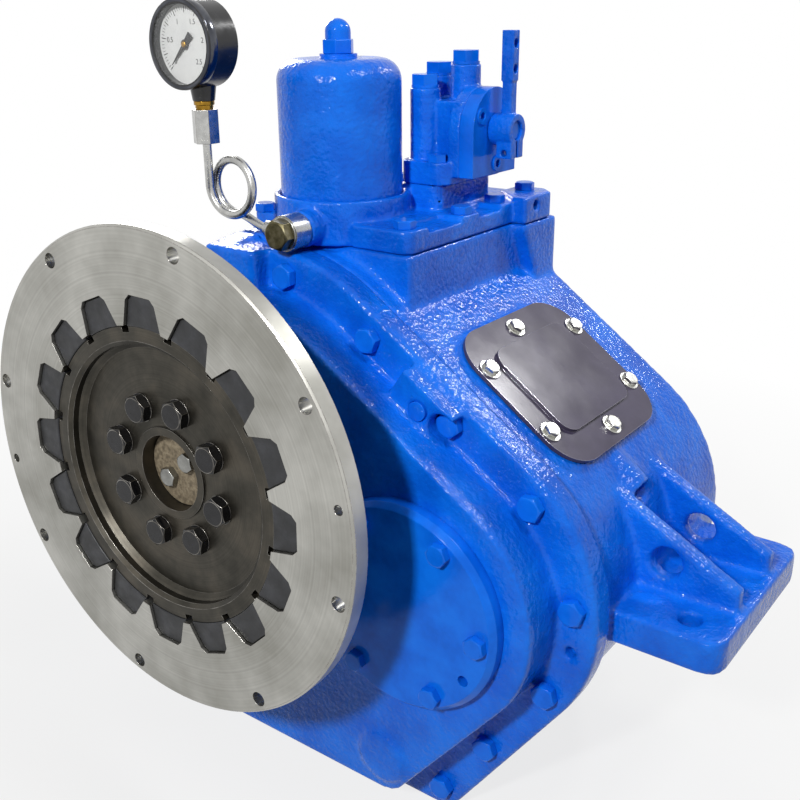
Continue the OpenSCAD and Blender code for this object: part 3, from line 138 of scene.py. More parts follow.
# One finish: tones mottled over patches, a roughness range, bumps given as size and depth in mm, and
# specks given as size, share and tone. A turned finish has rings about an axis along Y, drawn coarser
# than real tool marks so that they show.
def makeFinish(name, look):
    material = bpy.data.materials.new(name)
    material.use_nodes = True
    tree = material.node_tree
    tree.nodes.clear()
    shader = addNode(tree, "ShaderNodeBsdfPrincipled", look.get("shader", {}))
    addNode(tree, "ShaderNodeOutputMaterial", {"Surface": shader})
    place = addNode(tree, "ShaderNodeTexCoord").outputs["Object"]
    patch = addNode(tree, "ShaderNodeTexNoise", {
        "Vector": place, "Scale": perMetre(look["patch"]), **patchNoise})
    ramp = addNode(tree, "ShaderNodeValToRGB", {"Fac": patch})
    tones = look["tones"]
    for i, tone in enumerate(tones):  # a new ramp has two stops
        at = toneLow + (toneHigh - toneLow) * i / (len(tones) - 1)
        stop = ramp.color_ramp.elements[i] if i < 2 else ramp.color_ramp.elements.new(at)
        stop.position = at
        stop.color = linear(tone)
    colour = ramp.outputs[0]
    for size, share, tone in look.get("specks", []):
        speck = addNode(tree, "ShaderNodeTexNoise", {
            "Vector": place, "Scale": perMetre(size), "Detail": 3})
        mask = addNode(tree, "ShaderNodeMapRange", {
            "Value": speck, "From Min": 1 - share, "From Max": 1 - share + speckFade})
        colour = addNode(tree, "ShaderNodeMix", {
            "data_type": "RGBA", 0: mask, 6: colour, 7: linear(tone)}).outputs[2]
    wear = addNode(tree, "ShaderNodeTexNoise", {
        "Vector": place, "Scale": perMetre(look["patch"] * wearPart), "Detail": 5})
    roughness = addNode(tree, "ShaderNodeMapRange", {
        "Value": wear, "From Min": noiseLow, "From Max": noiseHigh,
        "To Min": look["rough"][0], "To Max": look["rough"][1]})
    normal = None
    for size, depth in look.get("bumps", []):
        grain = addNode(tree, "ShaderNodeTexNoise", {
            "Vector": place, "Scale": perMetre(size), "Detail": 2})
        normal = addNode(tree, "ShaderNodeBump", {
            "Strength": 1, "Distance": depth * mm, "Height": grain,
            **({"Normal": normal} if normal else {})})
    if "turned" in look:
        turned = look["turned"]
        offset = addNode(tree, "ShaderNodeVectorMath", {
            "operation": "SUBTRACT", 0: place, 1: Vector(turned.get("centre", (0, 0, 0))) * mm})
        flat = addNode(tree, "ShaderNodeVectorMath", {
            "operation": "MULTIPLY", 0: offset, 1: (1, 0, 1)})
        radius = addNode(tree, "ShaderNodeVectorMath", {
            "operation": "LENGTH", 0: flat}).outputs["Value"]
        rings = addNode(tree, "ShaderNodeTexNoise", {
            "noise_dimensions": "1D", "W": radius, "Scale": perMetre(turned["pitch"]), "Detail": 3})
        normal = addNode(tree, "ShaderNodeBump", {
            "Strength": 1, "Distance": turned["depth"] * mm, "Height": rings,
            **({"Normal": normal} if normal else {})})
        shade = addNode(tree, "ShaderNodeMapRange", {
            "Value": rings, "From Min": noiseLow, "From Max": noiseHigh,
            "To Min": 1 - turned["shade"], "To Max": 1})
        colour = addNode(tree, "ShaderNodeMix", {
            "data_type": "RGBA", "blend_type": "MULTIPLY", 0: 1.0, 6: colour, 7: shade}).outputs[2]
    tree.links.new(colour, shader.inputs["Base Color"])
    tree.links.new(roughness.outputs[0], shader.inputs["Roughness"])
    if normal:
        tree.links.new(normal.outputs[0], shader.inputs["Normal"])
    return material


finishes = {
    # thick brushed enamel over sand-cast iron: glossy, broken into glints by the sand grain under it
    "castEnamel": {
        "tones": ("#0457c8", "#0763d6", "#0c6ee2"), "patch": 38, "rough": (0.10, 0.19),
        "bumps": ((28, 0.6), (9, 0.45), (3.5, 0.9)), "shader": {"Specular IOR Level": 0.2}},
    # the same enamel over machined faces and bolt heads: flatter, with a soft orange peel
    "smoothEnamel": {
        "tones": ("#055ccc", "#0966da", "#0c6ee2"), "patch": 24, "rough": (0.11, 0.18),
        "bumps": ((9, 0.12), (2.4, 0.08)), "shader": {"Specular IOR Level": 0.15}},
    # ground steel plate: pale grey, with a fine grain, turning marks and a few dark handling stains
    "groundSteel": {
        "tones": ("#989790", "#aaa9a3", "#bcbbb5"), "patch": 75, "rough": (0.30, 0.44),
        "bumps": ((1.2, 0.012),), "turned": {"pitch": 1.6, "depth": 0.01, "shade": 0.13},
        "specks": ((9, 0.24, "#85847e"), (2.2, 0.25, "#5c5b56")), "shader": {"Metallic": 1.0}},
    # turned steel with a dark oily skin that shows the tool marks
    "oiledSteel": {
        "tones": ("#37352f", "#45423b", "#534e45"), "patch": 30, "rough": (0.30, 0.44),
        "turned": {"pitch": 1.3, "depth": 0.008, "shade": 0.2}, "shader": {"Metallic": 0.85}},
    # steel edge lighter than the face: partly rubbed bright by handling, partly a painted highlight along
    # the edge
    "rubbedAndHighlitEdge": {
        "tones": ("#8b8883", "#a9a7a2"), "patch": 6, "rough": (0.22, 0.34), "bumps": ((1.0, 0.008),),
        "shader": {"Metallic": 1.0}},
    # the same on dark steel, where only the high spots are bright: partly wear, partly a painted highlight
    # along the edges of the hub and its bolts
    "darkRubbedAndHighlitEdge": {
        "tones": ("#4a4743", "#6b6863", "#8a8782"), "patch": 9, "rough": (0.24, 0.36),
        "bumps": ((1.0, 0.008),), "shader": {"Metallic": 1.0}},
    # bright turned steel of shafts and flanges
    "turnedSteel": {
        "tones": ("#9a9a96", "#b4b4b0"), "patch": 14, "rough": (0.22, 0.36),
        "turned": {"pitch": 0.8, "depth": 0.005, "shade": 0.1, "centre": (0, 0, -170)},
        "shader": {"Metallic": 1.0}},
    # moulded nitrile rubber: dark, slightly shiny, with a dusty bloom
    "mouldedRubber": {
        "tones": ("#131416", "#1c1d20", "#292a2e"), "patch": 12, "rough": (0.34, 0.55),
        "bumps": ((5, 0.12), (1.2, 0.03)), "shader": {"Specular IOR Level": 0.45}},
    # black-oxide fasteners, glossy under a film of oil
    "blackOxide": {
        "tones": ("#101012", "#1b1b1e"), "patch": 5, "rough": (0.16, 0.30),
        "bumps": ((2.0, 0.02),), "shader": {"Metallic": 0.4, "Specular IOR Level": 0.5}},
    # phosphated end plate, dry and sandy
    "phosphatedPlate": {
        "tones": ("#5f5545", "#7b6f5b", "#8f836d"), "patch": 3.5, "rough": (0.6, 0.8),
        "bumps": ((1.4, 0.05),), "specks": ((2.0, 0.36, "#40382f"),), "shader": {"Metallic": 0.25}},
    # hardened gear steel: even grey with a faint grain
    "hardenedSteel": {
        "tones": ("#7d7d7a", "#989894"), "patch": 10, "rough": (0.28, 0.4), "bumps": ((1.0, 0.01),),
        "shader": {"Metallic": 1.0}},
    # sintered bronze lining of the clutch plates: matt and grainy
    "sinteredBronze": {
        "tones": ("#6a5436", "#8a7048"), "patch": 3, "rough": (0.5, 0.66), "bumps": ((0.8, 0.03),),
        "shader": {"Metallic": 0.8}},
    # ground bearing steel, nearly a mirror
    "bearingSteel": {
        "tones": ("#b0b0ae", "#c2c2c0"), "patch": 16, "rough": (0.12, 0.2), "bumps": ((2.0, 0.003),),
        "shader": {"Metallic": 1.0}},
    # moulded seal lip, dull black
    "sealRubber": {
        "tones": ("#19191b", "#242427"), "patch": 6, "rough": (0.4, 0.55), "bumps": ((1.0, 0.02),)},
    # pleated filter paper, dry and fibrous
    "pleatedPaper": {
        "tones": ("#b9a67c", "#cfbf98"), "patch": 4, "rough": (0.8, 0.9), "bumps": ((0.8, 0.05),)},
    # painted pressed sheet, plum grey and very glossy
    "plumPaint": {
        "tones": ("#3a3448", "#453f55"), "patch": 40, "rough": (0.16, 0.22),
        "bumps": ((14, 0.04), (3, 0.01)), "shader": {"Specular IOR Level": 0.3}},
    # its rolled edge, polished through to the metal and lighter still as a painted highlight along the
    # bevels
    "polishedAndHighlitEdge": {
        "tones": ("#8f8c96", "#b5b3bb"), "patch": 12, "rough": (0.10, 0.20), "bumps": ((6, 0.02),),
        "shader": {"Metallic": 1.0}},
    # black fibre gasket, matt
    "gasketSheet": {
        "tones": ("#141416", "#1f1f22"), "patch": 3, "rough": (0.6, 0.8), "bumps": ((0.9, 0.03),)},
    # bright zinc plate with a faint warm cast
    "brightZinc": {
        "tones": ("#b9b8b2", "#d0d0cc"), "patch": 5, "rough": (0.2, 0.32), "bumps": ((1.5, 0.01),),
        "shader": {"Metallic": 1.0}},
    # olive chromated zinc, dull and stained
    "oliveZinc": {
        "tones": ("#4b4632", "#625c44", "#77715a"), "patch": 6, "rough": (0.30, 0.44),
        "bumps": ((1.5, 0.015),), "shader": {"Metallic": 1.0}},
    # soft copper sealing washer, browned by heat
    "annealedCopper": {
        "tones": ("#6f4030", "#92583e"), "patch": 4, "rough": (0.3, 0.45), "bumps": ((1.2, 0.01),),
        "shader": {"Metallic": 1.0}},
    # drawn steel tube and nut, satin
    "satinTube": {
        "tones": ("#a6a6a4", "#bfbfbc"), "patch": 8, "rough": (0.20, 0.32), "bumps": ((3.0, 0.01),),
        "shader": {"Metallic": 1.0}},
    # turned brass, warm and slightly tarnished
    "turnedBrass": {
        "tones": ("#80601f", "#a27c31"), "patch": 5, "rough": (0.22, 0.36), "bumps": ((1.0, 0.01),),
        "shader": {"Metallic": 1.0}},
    # stoved black gauge case, glossy
    "blackGaugePaint": {
        "tones": ("#0d0d0f", "#18181a"), "patch": 10, "rough": (0.16, 0.28), "bumps": ((2.5, 0.01),)},
    # black chromed bezel: dark, with mirror edges
    "blackChrome": {
        "tones": ("#3e4046", "#5a5c62"), "patch": 14, "rough": (0.08, 0.16), "bumps": ((5, 0.006),),
        "shader": {"Metallic": 1.0}},
    # white enamelled dial, flat and clean
    "dialEnamel": {
        "tones": ("#d6d7d6", "#e0e1df"), "patch": 20, "rough": (0.4, 0.5), "bumps": ((4, 0.002),)},
    # clear window glass, seen mostly by its reflections
    "gaugeGlass": {
        "tones": ("#f4f8fa", "#ffffff"), "patch": 30, "rough": (0.02, 0.04),
        "shader": {"Alpha": 0.05, "Specular IOR Level": 0.25}},
    # printing ink, flat black
    "printBlack": {
        "tones": ("#0c0c0d", "#161617"), "patch": 3, "rough": (0.45, 0.6)},
}
materials = {name: makeFinish(name, look) for name, look in finishes.items()}
slotFinish = {
    "blue_enamel": "smoothEnamel", "machined_steel": "turnedSteel", "coupling_rubber": "mouldedRubber",
    "dark_iron": "oiledSteel", "black_oxide": "blackOxide", "tan_plate": "phosphatedPlate",
    "gear_steel": "hardenedSteel", "sinter_bronze": "sinteredBronze", "bearing_steel": "bearingSteel",
    "seal_rubber": "sealRubber", "filter_paper": "pleatedPaper", "plum_plate": "plumPaint",
    "gasket_black": "gasketSheet", "bright_zinc": "brightZinc", "olive_zinc": "oliveZinc",
    "copper_washer": "annealedCopper", "bright_tube": "satinTube", "gauge_brass": "turnedBrass",
    "gauge_black": "blackGaugePaint", "dial_white": "dialEnamel", "gauge_glass": "gaugeGlass",
    "pointer_black": "printBlack"}
nodeFinish = {"control_spindle": "smoothEnamel"}  # painted over with the lever
for name, node in nodes.items():
    finish = materials[nodeFinish.get(name, slotFinish[slotOf[name]])]
    if node.material_slots:
        for slot in node.material_slots:
            slot.material = finish
    else:
        node.data.materials.append(finish)
print("materials made:", len(materials))


# pieces

weldGap = 2e-6  # metres between corners that are one
foldAngle = {"plain": 32, "turned": 50, "cast": 60}  # degrees past which the shading has a crisp line


def weldedCopy(name):
    work = bmesh.new()
    work.from_mesh(nodes[name].data)
    bmesh.ops.remove_doubles(work, verts=work.verts, dist=weldGap)
    return work


def linked(name, data):
    piece = bpy.data.objects.new(name, data)
    scene.collection.objects.link(piece)
    return piece


def asObject(name, work):
    mesh = bpy.data.meshes.new(name)
    work.to_mesh(mesh)
    work.free()
    return linked(name, mesh)


# turns what the modifiers make into a plain mesh
def bake(piece):
    graph = bpy.context.evaluated_depsgraph_get()
    mesh = bpy.data.meshes.new_from_object(piece.evaluated_get(graph))
    piece.modifiers.clear()
    old = piece.data
    piece.data = mesh
    bpy.data.meshes.remove(old)
    return piece


# gives a piece its finishes and its body, and hides the nodes it stands for
def dress(piece, coats, body, replaced=(), sharp=foldAngle["plain"]):
    faceCoats = [face.material_index for face in piece.data.polygons]
    piece.data.materials.clear()
    for coat in coats:
        piece.data.materials.append(materials[coat])
    piece.data.polygons.foreach_set("material_index", faceCoats)
    if sharp:
        piece.data.shade_smooth()
        piece.data.set_sharp_from_angle(angle=math.radians(sharp))
    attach(piece, body)
    if replaced:
        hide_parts(*replaced)
    return piece


def bodyOf(name):
    return nodes[name]["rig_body"]


# castings: the sharp solid is skinned again in small cells and relaxed, which rounds edges and corners
castings = {
    "frontCasting": {"node": "front_case", "cell": 1.8, "relax": 16, "triangles": 180000},
    "rearCasting": {"node": "rear_case", "cell": 2.0, "relax": 16, "triangles": 195000},
    "coverCasting": {"node": "top_cover", "cell": 1.3, "relax": 9, "triangles": 140000},
    "valveCasting": {"node": "valve_body", "cell": 1.0, "relax": 8, "triangles": 100000},
    "pumpCasting": {"node": "oil_pump", "cell": 1.8, "relax": 6, "triangles": 60000},
    "leverCasting": {"node": "control_lever", "cell": 0.6, "relax": 6, "triangles": 50000},
}
relaxStep = 0.5  # how far a corner moves towards its neighbours each time


def castPiece(name, casting):
    piece = asObject(name, weldedCopy(casting["node"]))
    skin = piece.modifiers.new("skin", "REMESH")
    skin.mode = "VOXEL"
    skin.voxel_size = casting["cell"] * mm
    relax = piece.modifiers.new("relax", "SMOOTH")
    relax.factor = relaxStep
    relax.iterations = casting["relax"]
    bake(piece)
    count = 2 * len(piece.data.polygons)
    if count > casting["triangles"]:
        thin = piece.modifiers.new("thin", "DECIMATE")
        thin.ratio = casting["triangles"] / count
        bake(piece)
    return dress(piece, ["castEnamel"], bodyOf(casting["node"]), [casting["node"]], sharp=foldAngle["cast"])


for name, casting in castings.items():
    castPiece(name, casting)
    print("cast:", name)

# turned and pressed pieces: a small bevel breaks the solid's edges and may have a finish of its own, a
# lighter rim that is partly wear and partly painted highlight
edges = {
    "ringPlate": {"node": "driving_ring", "width": 0.8, "finish": "groundSteel", "rim": "rubbedAndHighlitEdge"},
    "rubberBlocks": {"node": "rubber_blocks", "width": 1.4, "finish": "mouldedRubber"},
    "couplingHub": {"node": "coupling_hub", "width": 0.8, "finish": "oiledSteel", "rim": "darkRubbedAndHighlitEdge"},
    "endPlate": {"node": "hub_end_plate", "width": 0.6, "finish": "phosphatedPlate"},
    "sealCover": {"node": "input_seal_cover", "width": 1.6, "finish": "smoothEnamel"},
    "counterCover": {"node": "counter_front_cover", "width": 1.8, "finish": "smoothEnamel"},
    "rearCover": {"node": "counter_rear_cover", "width": 1.6, "finish": "smoothEnamel"},
    "outputCover": {"node": "output_bearing_cover", "width": 1.6, "finish": "smoothEnamel"},
    "outputFlange": {"node": "output_flange", "width": 0.6, "finish": "turnedSteel"},
    "outputNut": {"node": "output_nut", "width": 0.8, "finish": "turnedSteel"},
    "filterCanister": {"node": "filter_canister", "width": 1.2, "finish": "castEnamel"},
    "filterNut": {"node": "filter_centre_bolt", "width": 0.8, "finish": "smoothEnamel"},
    "hatchPlate": {"node": "inspection_cover", "width": 2.4, "finish": "plumPaint", "rim": "polishedAndHighlitEdge"},
    "valvePlugs": {"node": "valve_plugs", "width": 0.7, "finish": "smoothEnamel"},
    "valvePlate": {"node": "valve_end_plate", "width": 1.6, "finish": "smoothEnamel"},
    "valveScrews": {"node": "valve_screws", "width": 0.5, "finish": "smoothEnamel"},
    "casePlugs": {"node": "case_plugs", "width": 0.7, "finish": "smoothEnamel"},
    "leverSpindle": {"node": "control_spindle", "width": 0.8, "finish": "smoothEnamel"},
    "banjoEye": {"node": "banjo_eye", "width": 0.8, "finish": "satinTube"},
    "banjoWashers": {"node": "banjo_washers", "width": 0.3, "finish": "satinTube",
                     "behind": ("annealedCopper", 130)},
    "pipeNut": {"node": "pipe_nut", "width": 0.8, "finish": "satinTube", "rim": "rubbedAndHighlitEdge", "spin": 30},
    "gaugeStem": {"node": "gauge_stem", "width": 0.5, "finish": "turnedBrass"},
    "gaugeCase": {"node": "gauge_case", "width": 0.7, "finish": "blackGaugePaint"},
    "gaugeNeedle": {"node": "gauge_pointer", "width": 0.15, "finish": "printBlack"},
}
edgeBreak = {"angle": 28, "segments": 3, "innerShare": 0.3, "flatWithin": 0.5,
             "areaWeight": 100}  # angles in degrees


# a narrow bevel on the sharp edges, in the last of the piece's finishes, which for a rim finish is partly
# wear and partly painted highlight
def breakEdges(piece, width, coats, limit):
    piece.data.shade_smooth()
    piece.data.materials.clear()
    for coat in coats:
        piece.data.materials.append(materials[coat])
    bevel = piece.modifiers.new("edge", "BEVEL")
    bevel.width = width * mm
    bevel.segments = edgeBreak["segments"]
    bevel.limit_method = limit
    bevel.angle_limit = math.radians(edgeBreak["angle"])
    bevel.material = len(coats) - 1
    level = piece.modifiers.new("level", "WEIGHTED_NORMAL")  # large flat faces stay flat to the eye
    level.mode = "FACE_AREA"
    level.weight = edgeBreak["areaWeight"]
    return bake(piece)


def bevelPiece(name, edge):
    work = weldedCopy(edge["node"])
    bmesh.ops.dissolve_limit(
        work, angle_limit=math.radians(edgeBreak["flatWithin"]), verts=work.verts, edges=work.edges)
    weight = work.edges.layers.float.new("bevel_weight_edge")
    for line in work.edges:
        if line.is_manifold and line.calc_face_angle() > math.radians(edgeBreak["angle"]):
            line[weight] = 1.0 if line.is_convex else edgeBreak["innerShare"]  # inner corners stay tighter
    if "spin" in edge:  # shows the same corner to the front as the real nut
        lows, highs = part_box(edge["node"])
        middle = (Vector(lows) + Vector(highs)) / 2
        turn = Matrix.Rotation(math.radians(edge["spin"]), 3, "Z")
        bmesh.ops.rotate(work, verts=work.verts, cent=middle, matrix=turn)
    coats = [edge[key] for key in ("finish", "rim") if key in edge]
    piece = breakEdges(asObject(name, work), edge["width"], coats, "WEIGHT")
    if "behind" in edge:  # faces past this depth have another finish
        coat, depth = edge["behind"]
        coats.append(coat)
        for face in piece.data.polygons:
            if face.center.y > depth * mm:
                face.material_index = len(coats) - 1
    return dress(piece, coats, bodyOf(edge["node"]), [edge["node"]], sharp=None)


for name, edge in edges.items():
    bevelPiece(name, edge)
print("edges broken:", len(edges))

# turned trim of the gauge: a closed outline of radius and depth in mm, spun about an axis along Y
turnings = {
    "gaugeBezel": {"at": (-55, 103, 279), "sides": 96, "coat": "blackChrome", "body": "case",
                   "slot": "gauge_black",
                   "outline": ((27.2, 4.4), (27.2, 1.5), (27.7, 0.5), (28.6, 0), (29.7, 0.2), (30.5, 1.0),
                               (30.8, 2.2), (30.8, 7.6), (30.4, 8.4), (29.0, 8.4), (28.6, 4.4))},
    "pointerCap": {"at": (-55, 106.6, 279), "sides": 32, "coat": "turnedBrass", "body": "pointer",
                   "slot": "gauge_brass",
                   "outline": ((0, 0), (1.3, 0.2), (2.1, 0.7), (2.3, 1.4), (0, 1.4))},
}
poleGap = 1e-6  # metres between corners on the axis that are one


def turnPiece(name, turning):
    work = bmesh.new()
    middle = Vector(turning["at"]) * mm
    rows = []
    for i in range(turning["sides"]):
        turn = 2 * math.pi * i / turning["sides"]
        rows.append([
            work.verts.new(middle + Vector((r * math.cos(turn), depth, r * math.sin(turn))) * mm)
            for r, depth in turning["outline"]])
    for i, row in enumerate(rows):
        after = rows[(i + 1) % len(rows)]
        for k in range(len(row)):
            work.faces.new((row[k], row[k - 1], after[k - 1], after[k]))
    bmesh.ops.remove_doubles(work, verts=work.verts, dist=poleGap)  # closes the poles
    bmesh.ops.dissolve_degenerate(work, edges=work.edges, dist=poleGap)
    bmesh.ops.recalc_face_normals(work, faces=work.faces)
    dress(asObject(name, work), [turning["coat"]], turning["body"],
          sharp=foldAngle["turned"])


for name, turning in turnings.items():
    turnPiece(name, turning)
print("gauge trim turned:", len(turnings))

# hexagon bolts: one tree makes a head with a chamfered crown, a washer and a shank at each point
leastRise = 0.2  # a face with a higher normal than this looks up
slopeFace = max(
    nodes["inspection_cover"].data.polygons, key=lambda face: face.area * (face.normal.z > leastRise))
slopeNormal = slopeFace.normal.copy()
bolts = {
    "caseBolts": {"node": "case_bolts", "axis": (0, -1, 0), "flats": 17, "head": 7,
                  "washer": (8.4, 0.7), "shank": (5, 38), "finish": "smoothEnamel", "seed": 3},
    "coverBolts": {"node": "front_cover_bolts", "axis": (0, -1, 0), "flats": 14.5, "head": 6,
                   "washer": (7.2, 0.7), "shank": (5, 30.5), "finish": "smoothEnamel", "seed": 5},
    "rearBolts": {"node": "rear_cover_bolts", "axis": (0, 1, 0), "flats": 19, "head": 8,
                  "washer": (9.4, 0.7), "shank": (6, 30), "finish": "smoothEnamel", "seed": 7},
    "lidBolts": {"node": "top_cover_bolts", "axis": (0, 0, 1), "flats": 14.5, "head": 6,
                 "washer": (7.2, 0.7), "shank": (5, 31), "finish": "smoothEnamel", "seed": 9},
    "hubBolts": {"node": "hub_bolts", "axis": (0, -1, 0), "flats": 19, "head": 7, "washer": (10.6, 1.0),
                 "shank": (6, 30), "finish": "blackOxide", "rim": "darkRubbedAndHighlitEdge", "seed": 11},
    "plateScrews": {"node": "end_plate_screws", "axis": (0, -1, 0), "flats": 13, "head": 5.5,
                    "washer": (6.4, 0.5), "shank": (4, 22), "finish": "hardenedSteel", "seed": 13},
    "hatchScrews": {"node": "inspection_screws", "axis": tuple(slopeNormal), "flats": 11, "head": 4,
                    "washer": (8.2, 1.4), "shank": (4, 17), "finish": "brightZinc", "seed": 15},
    "banjoBolt": {"node": "banjo_bolt", "axis": (0, -1, 0), "flats": 20, "head": 8,
                  "washer": (9.9, 0.6), "shank": (6.5, 32), "finish": "oliveZinc", "seed": 17},
}
boltEdge = 0.3  # mm
hexHead = {"corners": 48, "crown": 0.92, "chamfer": 0.577, "sideReach": 0.9, "crownFrom": 0.9,
           "upperFrom": 0.5}  # the chamfer is the tangent of 30 degrees
washerCorners, shankCorners = 40, 20


# the seat of each solid's head, found from the node itself
def boltSeats(node, axis, head):
    work = weldedCopy(node)
    work.verts.ensure_lookup_table()
    ahead = Vector(axis).normalized()
    side = ahead.orthogonal().normalized()
    across = ahead.cross(side)
    left = set(work.verts)
    seats = []
    while left:
        island, front = set(), [left.pop()]
        while front:
            vert = front.pop()
            island.add(vert)
            for edge in vert.link_edges:
                other = edge.other_vert(vert)
                if other in left:
                    left.discard(other)
                    front.append(other)
        spans = [[vert.co.dot(way) for vert in island] for way in (side, across, ahead)]
        middle = [(min(span) + max(span)) / 2 for span in spans[:2]]
        seats.append(side * middle[0] + across * middle[1] + ahead * (max(spans[2]) - head * mm))
    work.free()
    return sorted(seats, key=lambda seat: tuple(round(v, 4) for v in seat))


def newTree(name, inputs):
    tree = bpy.data.node_groups.new(name, "GeometryNodeTree")
    tree.is_modifier = True
    tree.interface.new_socket("Geometry", in_out="INPUT", socket_type="NodeSocketGeometry")
    for label, kind in inputs.items():
        tree.interface.new_socket(label, in_out="INPUT", socket_type="NodeSocket" + kind)
    tree.interface.new_socket("Finish", in_out="INPUT", socket_type="NodeSocketMaterial")
    tree.interface.new_socket("Geometry", in_out="OUTPUT", socket_type="NodeSocketGeometry")
    return tree, addNode(tree, "NodeGroupInput").outputs


# ends a tree: real geometry in its finish
def endTree(tree, shape, finish):
    real = addNode(tree, "GeometryNodeRealizeInstances", {0: shape})
    painted = addNode(tree, "GeometryNodeSetMaterial", {"Geometry": real, "Material": finish})
    addNode(tree, "NodeGroupOutput", {0: painted})
    return tree


def boltTree():
    tree, given = newTree("hexBolts", {
        "Across Flats": "Float", "Head Height": "Float", "Washer Radius": "Float",
        "Washer Thickness": "Float", "Shank Radius": "Float", "Shank Length": "Float", "Axis": "Vector",
        "Seed": "Int"})
    maths = "ShaderNodeMath"
    prism = addNode(tree, "GeometryNodeMeshCylinder", {
        "Vertices": hexHead["corners"], "Side Segments": 3, "Radius": 1.0, "Depth": 1.0})
    position = addNode(tree, "GeometryNodeInputPosition")
    spot = addNode(tree, "ShaderNodeSeparateXYZ", {0: position}).outputs
    angle = addNode(tree, maths, {"operation": "ARCTAN2", 0: spot[1], 1: spot[0]})
    apothem = addNode(tree, maths, {"operation": "MULTIPLY", 0: given["Across Flats"], 1: 0.5})
    fold = addNode(tree, maths, {"operation": "WRAP", 0: angle, 1: math.pi / 6, 2: -math.pi / 6})
    slant = addNode(tree, maths, {"operation": "COSINE", 0: fold})
    hexRadius = addNode(tree, maths, {"operation": "DIVIDE", 0: apothem, 1: slant})
    crown = addNode(tree, maths, {"operation": "MULTIPLY", 0: apothem, 1: hexHead["crown"]})
    level = addNode(tree, maths, {"operation": "ADD", 0: spot[2], 1: 0.5})
    isCrown = addNode(tree, maths, {"operation": "GREATER_THAN", 0: level, 1: hexHead["crownFrom"]})
    isUpper = addNode(tree, maths, {"operation": "GREATER_THAN", 0: level, 1: hexHead["upperFrom"]})
    beyond = addNode(tree, maths, {"operation": "SUBTRACT", 0: hexRadius, 1: crown})
    fall = addNode(tree, maths, {"operation": "MULTIPLY", 0: beyond, 1: hexHead["chamfer"]})
    shoulder = addNode(tree, maths, {"operation": "SUBTRACT", 0: given["Head Height"], 1: fall})
    share = addNode(tree, maths, {"operation": "MULTIPLY", 0: level, 1: hexHead["sideReach"]})
    low = addNode(tree, maths, {"operation": "MULTIPLY", 0: share, 1: given["Head Height"]})
    side = addNode(tree, "ShaderNodeMix", {0: isUpper, 2: low, 3: shoulder})
    height = addNode(tree, "ShaderNodeMix", {0: isCrown, 2: side, 3: given["Head Height"]})
    radius = addNode(tree, "ShaderNodeMix", {0: isCrown, 2: hexRadius, 3: crown})
    cosine = addNode(tree, maths, {"operation": "COSINE", 0: angle})
    sine = addNode(tree, maths, {"operation": "SINE", 0: angle})
    moved = addNode(tree, "ShaderNodeCombineXYZ", {
        0: addNode(tree, maths, {"operation": "MULTIPLY", 0: radius, 1: cosine}),
        1: addNode(tree, maths, {"operation": "MULTIPLY", 0: radius, 1: sine}), 2: height})
    shapes = [addNode(tree, "GeometryNodeSetPosition", {"Geometry": prism, "Position": moved})]
    for wide, deep, corners in (("Washer Radius", "Washer Thickness", washerCorners),
                                ("Shank Radius", "Shank Length", shankCorners)):
        rod = addNode(tree, "GeometryNodeMeshCylinder", {
            "Vertices": corners, "Radius": given[wide], "Depth": given[deep]})
        half = addNode(tree, maths, {"operation": "MULTIPLY", 0: given[deep], 1: -0.5})
        drop = addNode(tree, "ShaderNodeCombineXYZ", {2: half})
        shapes.append(addNode(tree, "GeometryNodeTransform", {"Geometry": rod, "Translation": drop}))
    whole = addNode(tree, "GeometryNodeJoinGeometry", {0: shapes})
    upright = addNode(tree, "FunctionNodeAlignRotationToVector", {"axis": "Z", "Vector": given["Axis"]})
    twist = addNode(tree, "FunctionNodeRandomValue", {
        "data_type": "FLOAT", 2: 0.0, 3: math.pi / 3, "Seed": given["Seed"]}).outputs[1]
    spin = addNode(tree, "FunctionNodeAxisAngleToRotation", {"Axis": (0, 0, 1), "Angle": twist})
    turn = addNode(tree, "FunctionNodeRotateRotation", {"rotation_space": "LOCAL", 0: upright, 1: spin})
    points = addNode(tree, "GeometryNodeMeshToPoints", {"Mesh": given["Geometry"]})
    copies = addNode(tree, "GeometryNodeInstanceOnPoints", {
        "Points": points, "Instance": whole, "Rotation": turn})
    return endTree(tree, copies, given["Finish"])


hexBolts = boltTree()


# runs a tree on points, or on the line through them where they are joined
def growFromPoints(name, points, tree, values, joined=False):
    mesh = bpy.data.meshes.new(name)
    steps = [(i, i + 1) for i in range(len(points) - 1)] if joined else []
    mesh.from_pydata(points, steps, [])
    piece = linked(name, mesh)
    modifier = piece.modifiers.new("grow", "NODES")
    modifier.node_group = tree
    for item in tree.interface.items_tree:
        if item.item_type == "SOCKET" and item.in_out == "INPUT" and item.name in values:
            modifier[item.identifier] = values[item.name]
    return bake(piece)


for name, bolt in bolts.items():
    seats = boltSeats(bolt["node"], bolt["axis"], bolt["head"])
    piece = growFromPoints(name, seats, hexBolts, {
        "Across Flats": bolt["flats"] * mm, "Head Height": bolt["head"] * mm,
        "Washer Radius": bolt["washer"][0] * mm, "Washer Thickness": bolt["washer"][1] * mm,
        "Shank Radius": bolt["shank"][0] * mm, "Shank Length": bolt["shank"][1] * mm,
        "Axis": bolt["axis"], "Seed": bolt["seed"], "Finish": materials[bolt["finish"]]})
    coats = [bolt[key] for key in ("finish", "rim") if key in bolt]
    breakEdges(piece, boltEdge, coats, "ANGLE")
    dress(piece, coats, bodyOf(bolt["node"]), [bolt["node"]], sharp=None)
    print("bolts:", name, len(seats))

# gauge pipe: drawn tube with one full turn, swept along its route
pipe = {"radius": 3.25, "sides": 24, "start": (4, 132, 151), "socketEnd": -7, "loop": (-35, 179),
        "loopRadius": 20, "loopDegrees": 450, "drift": 8.75, "top": 218, "riseSteps": 10, "turnSteps": 90,
        "coat": "satinTube"}


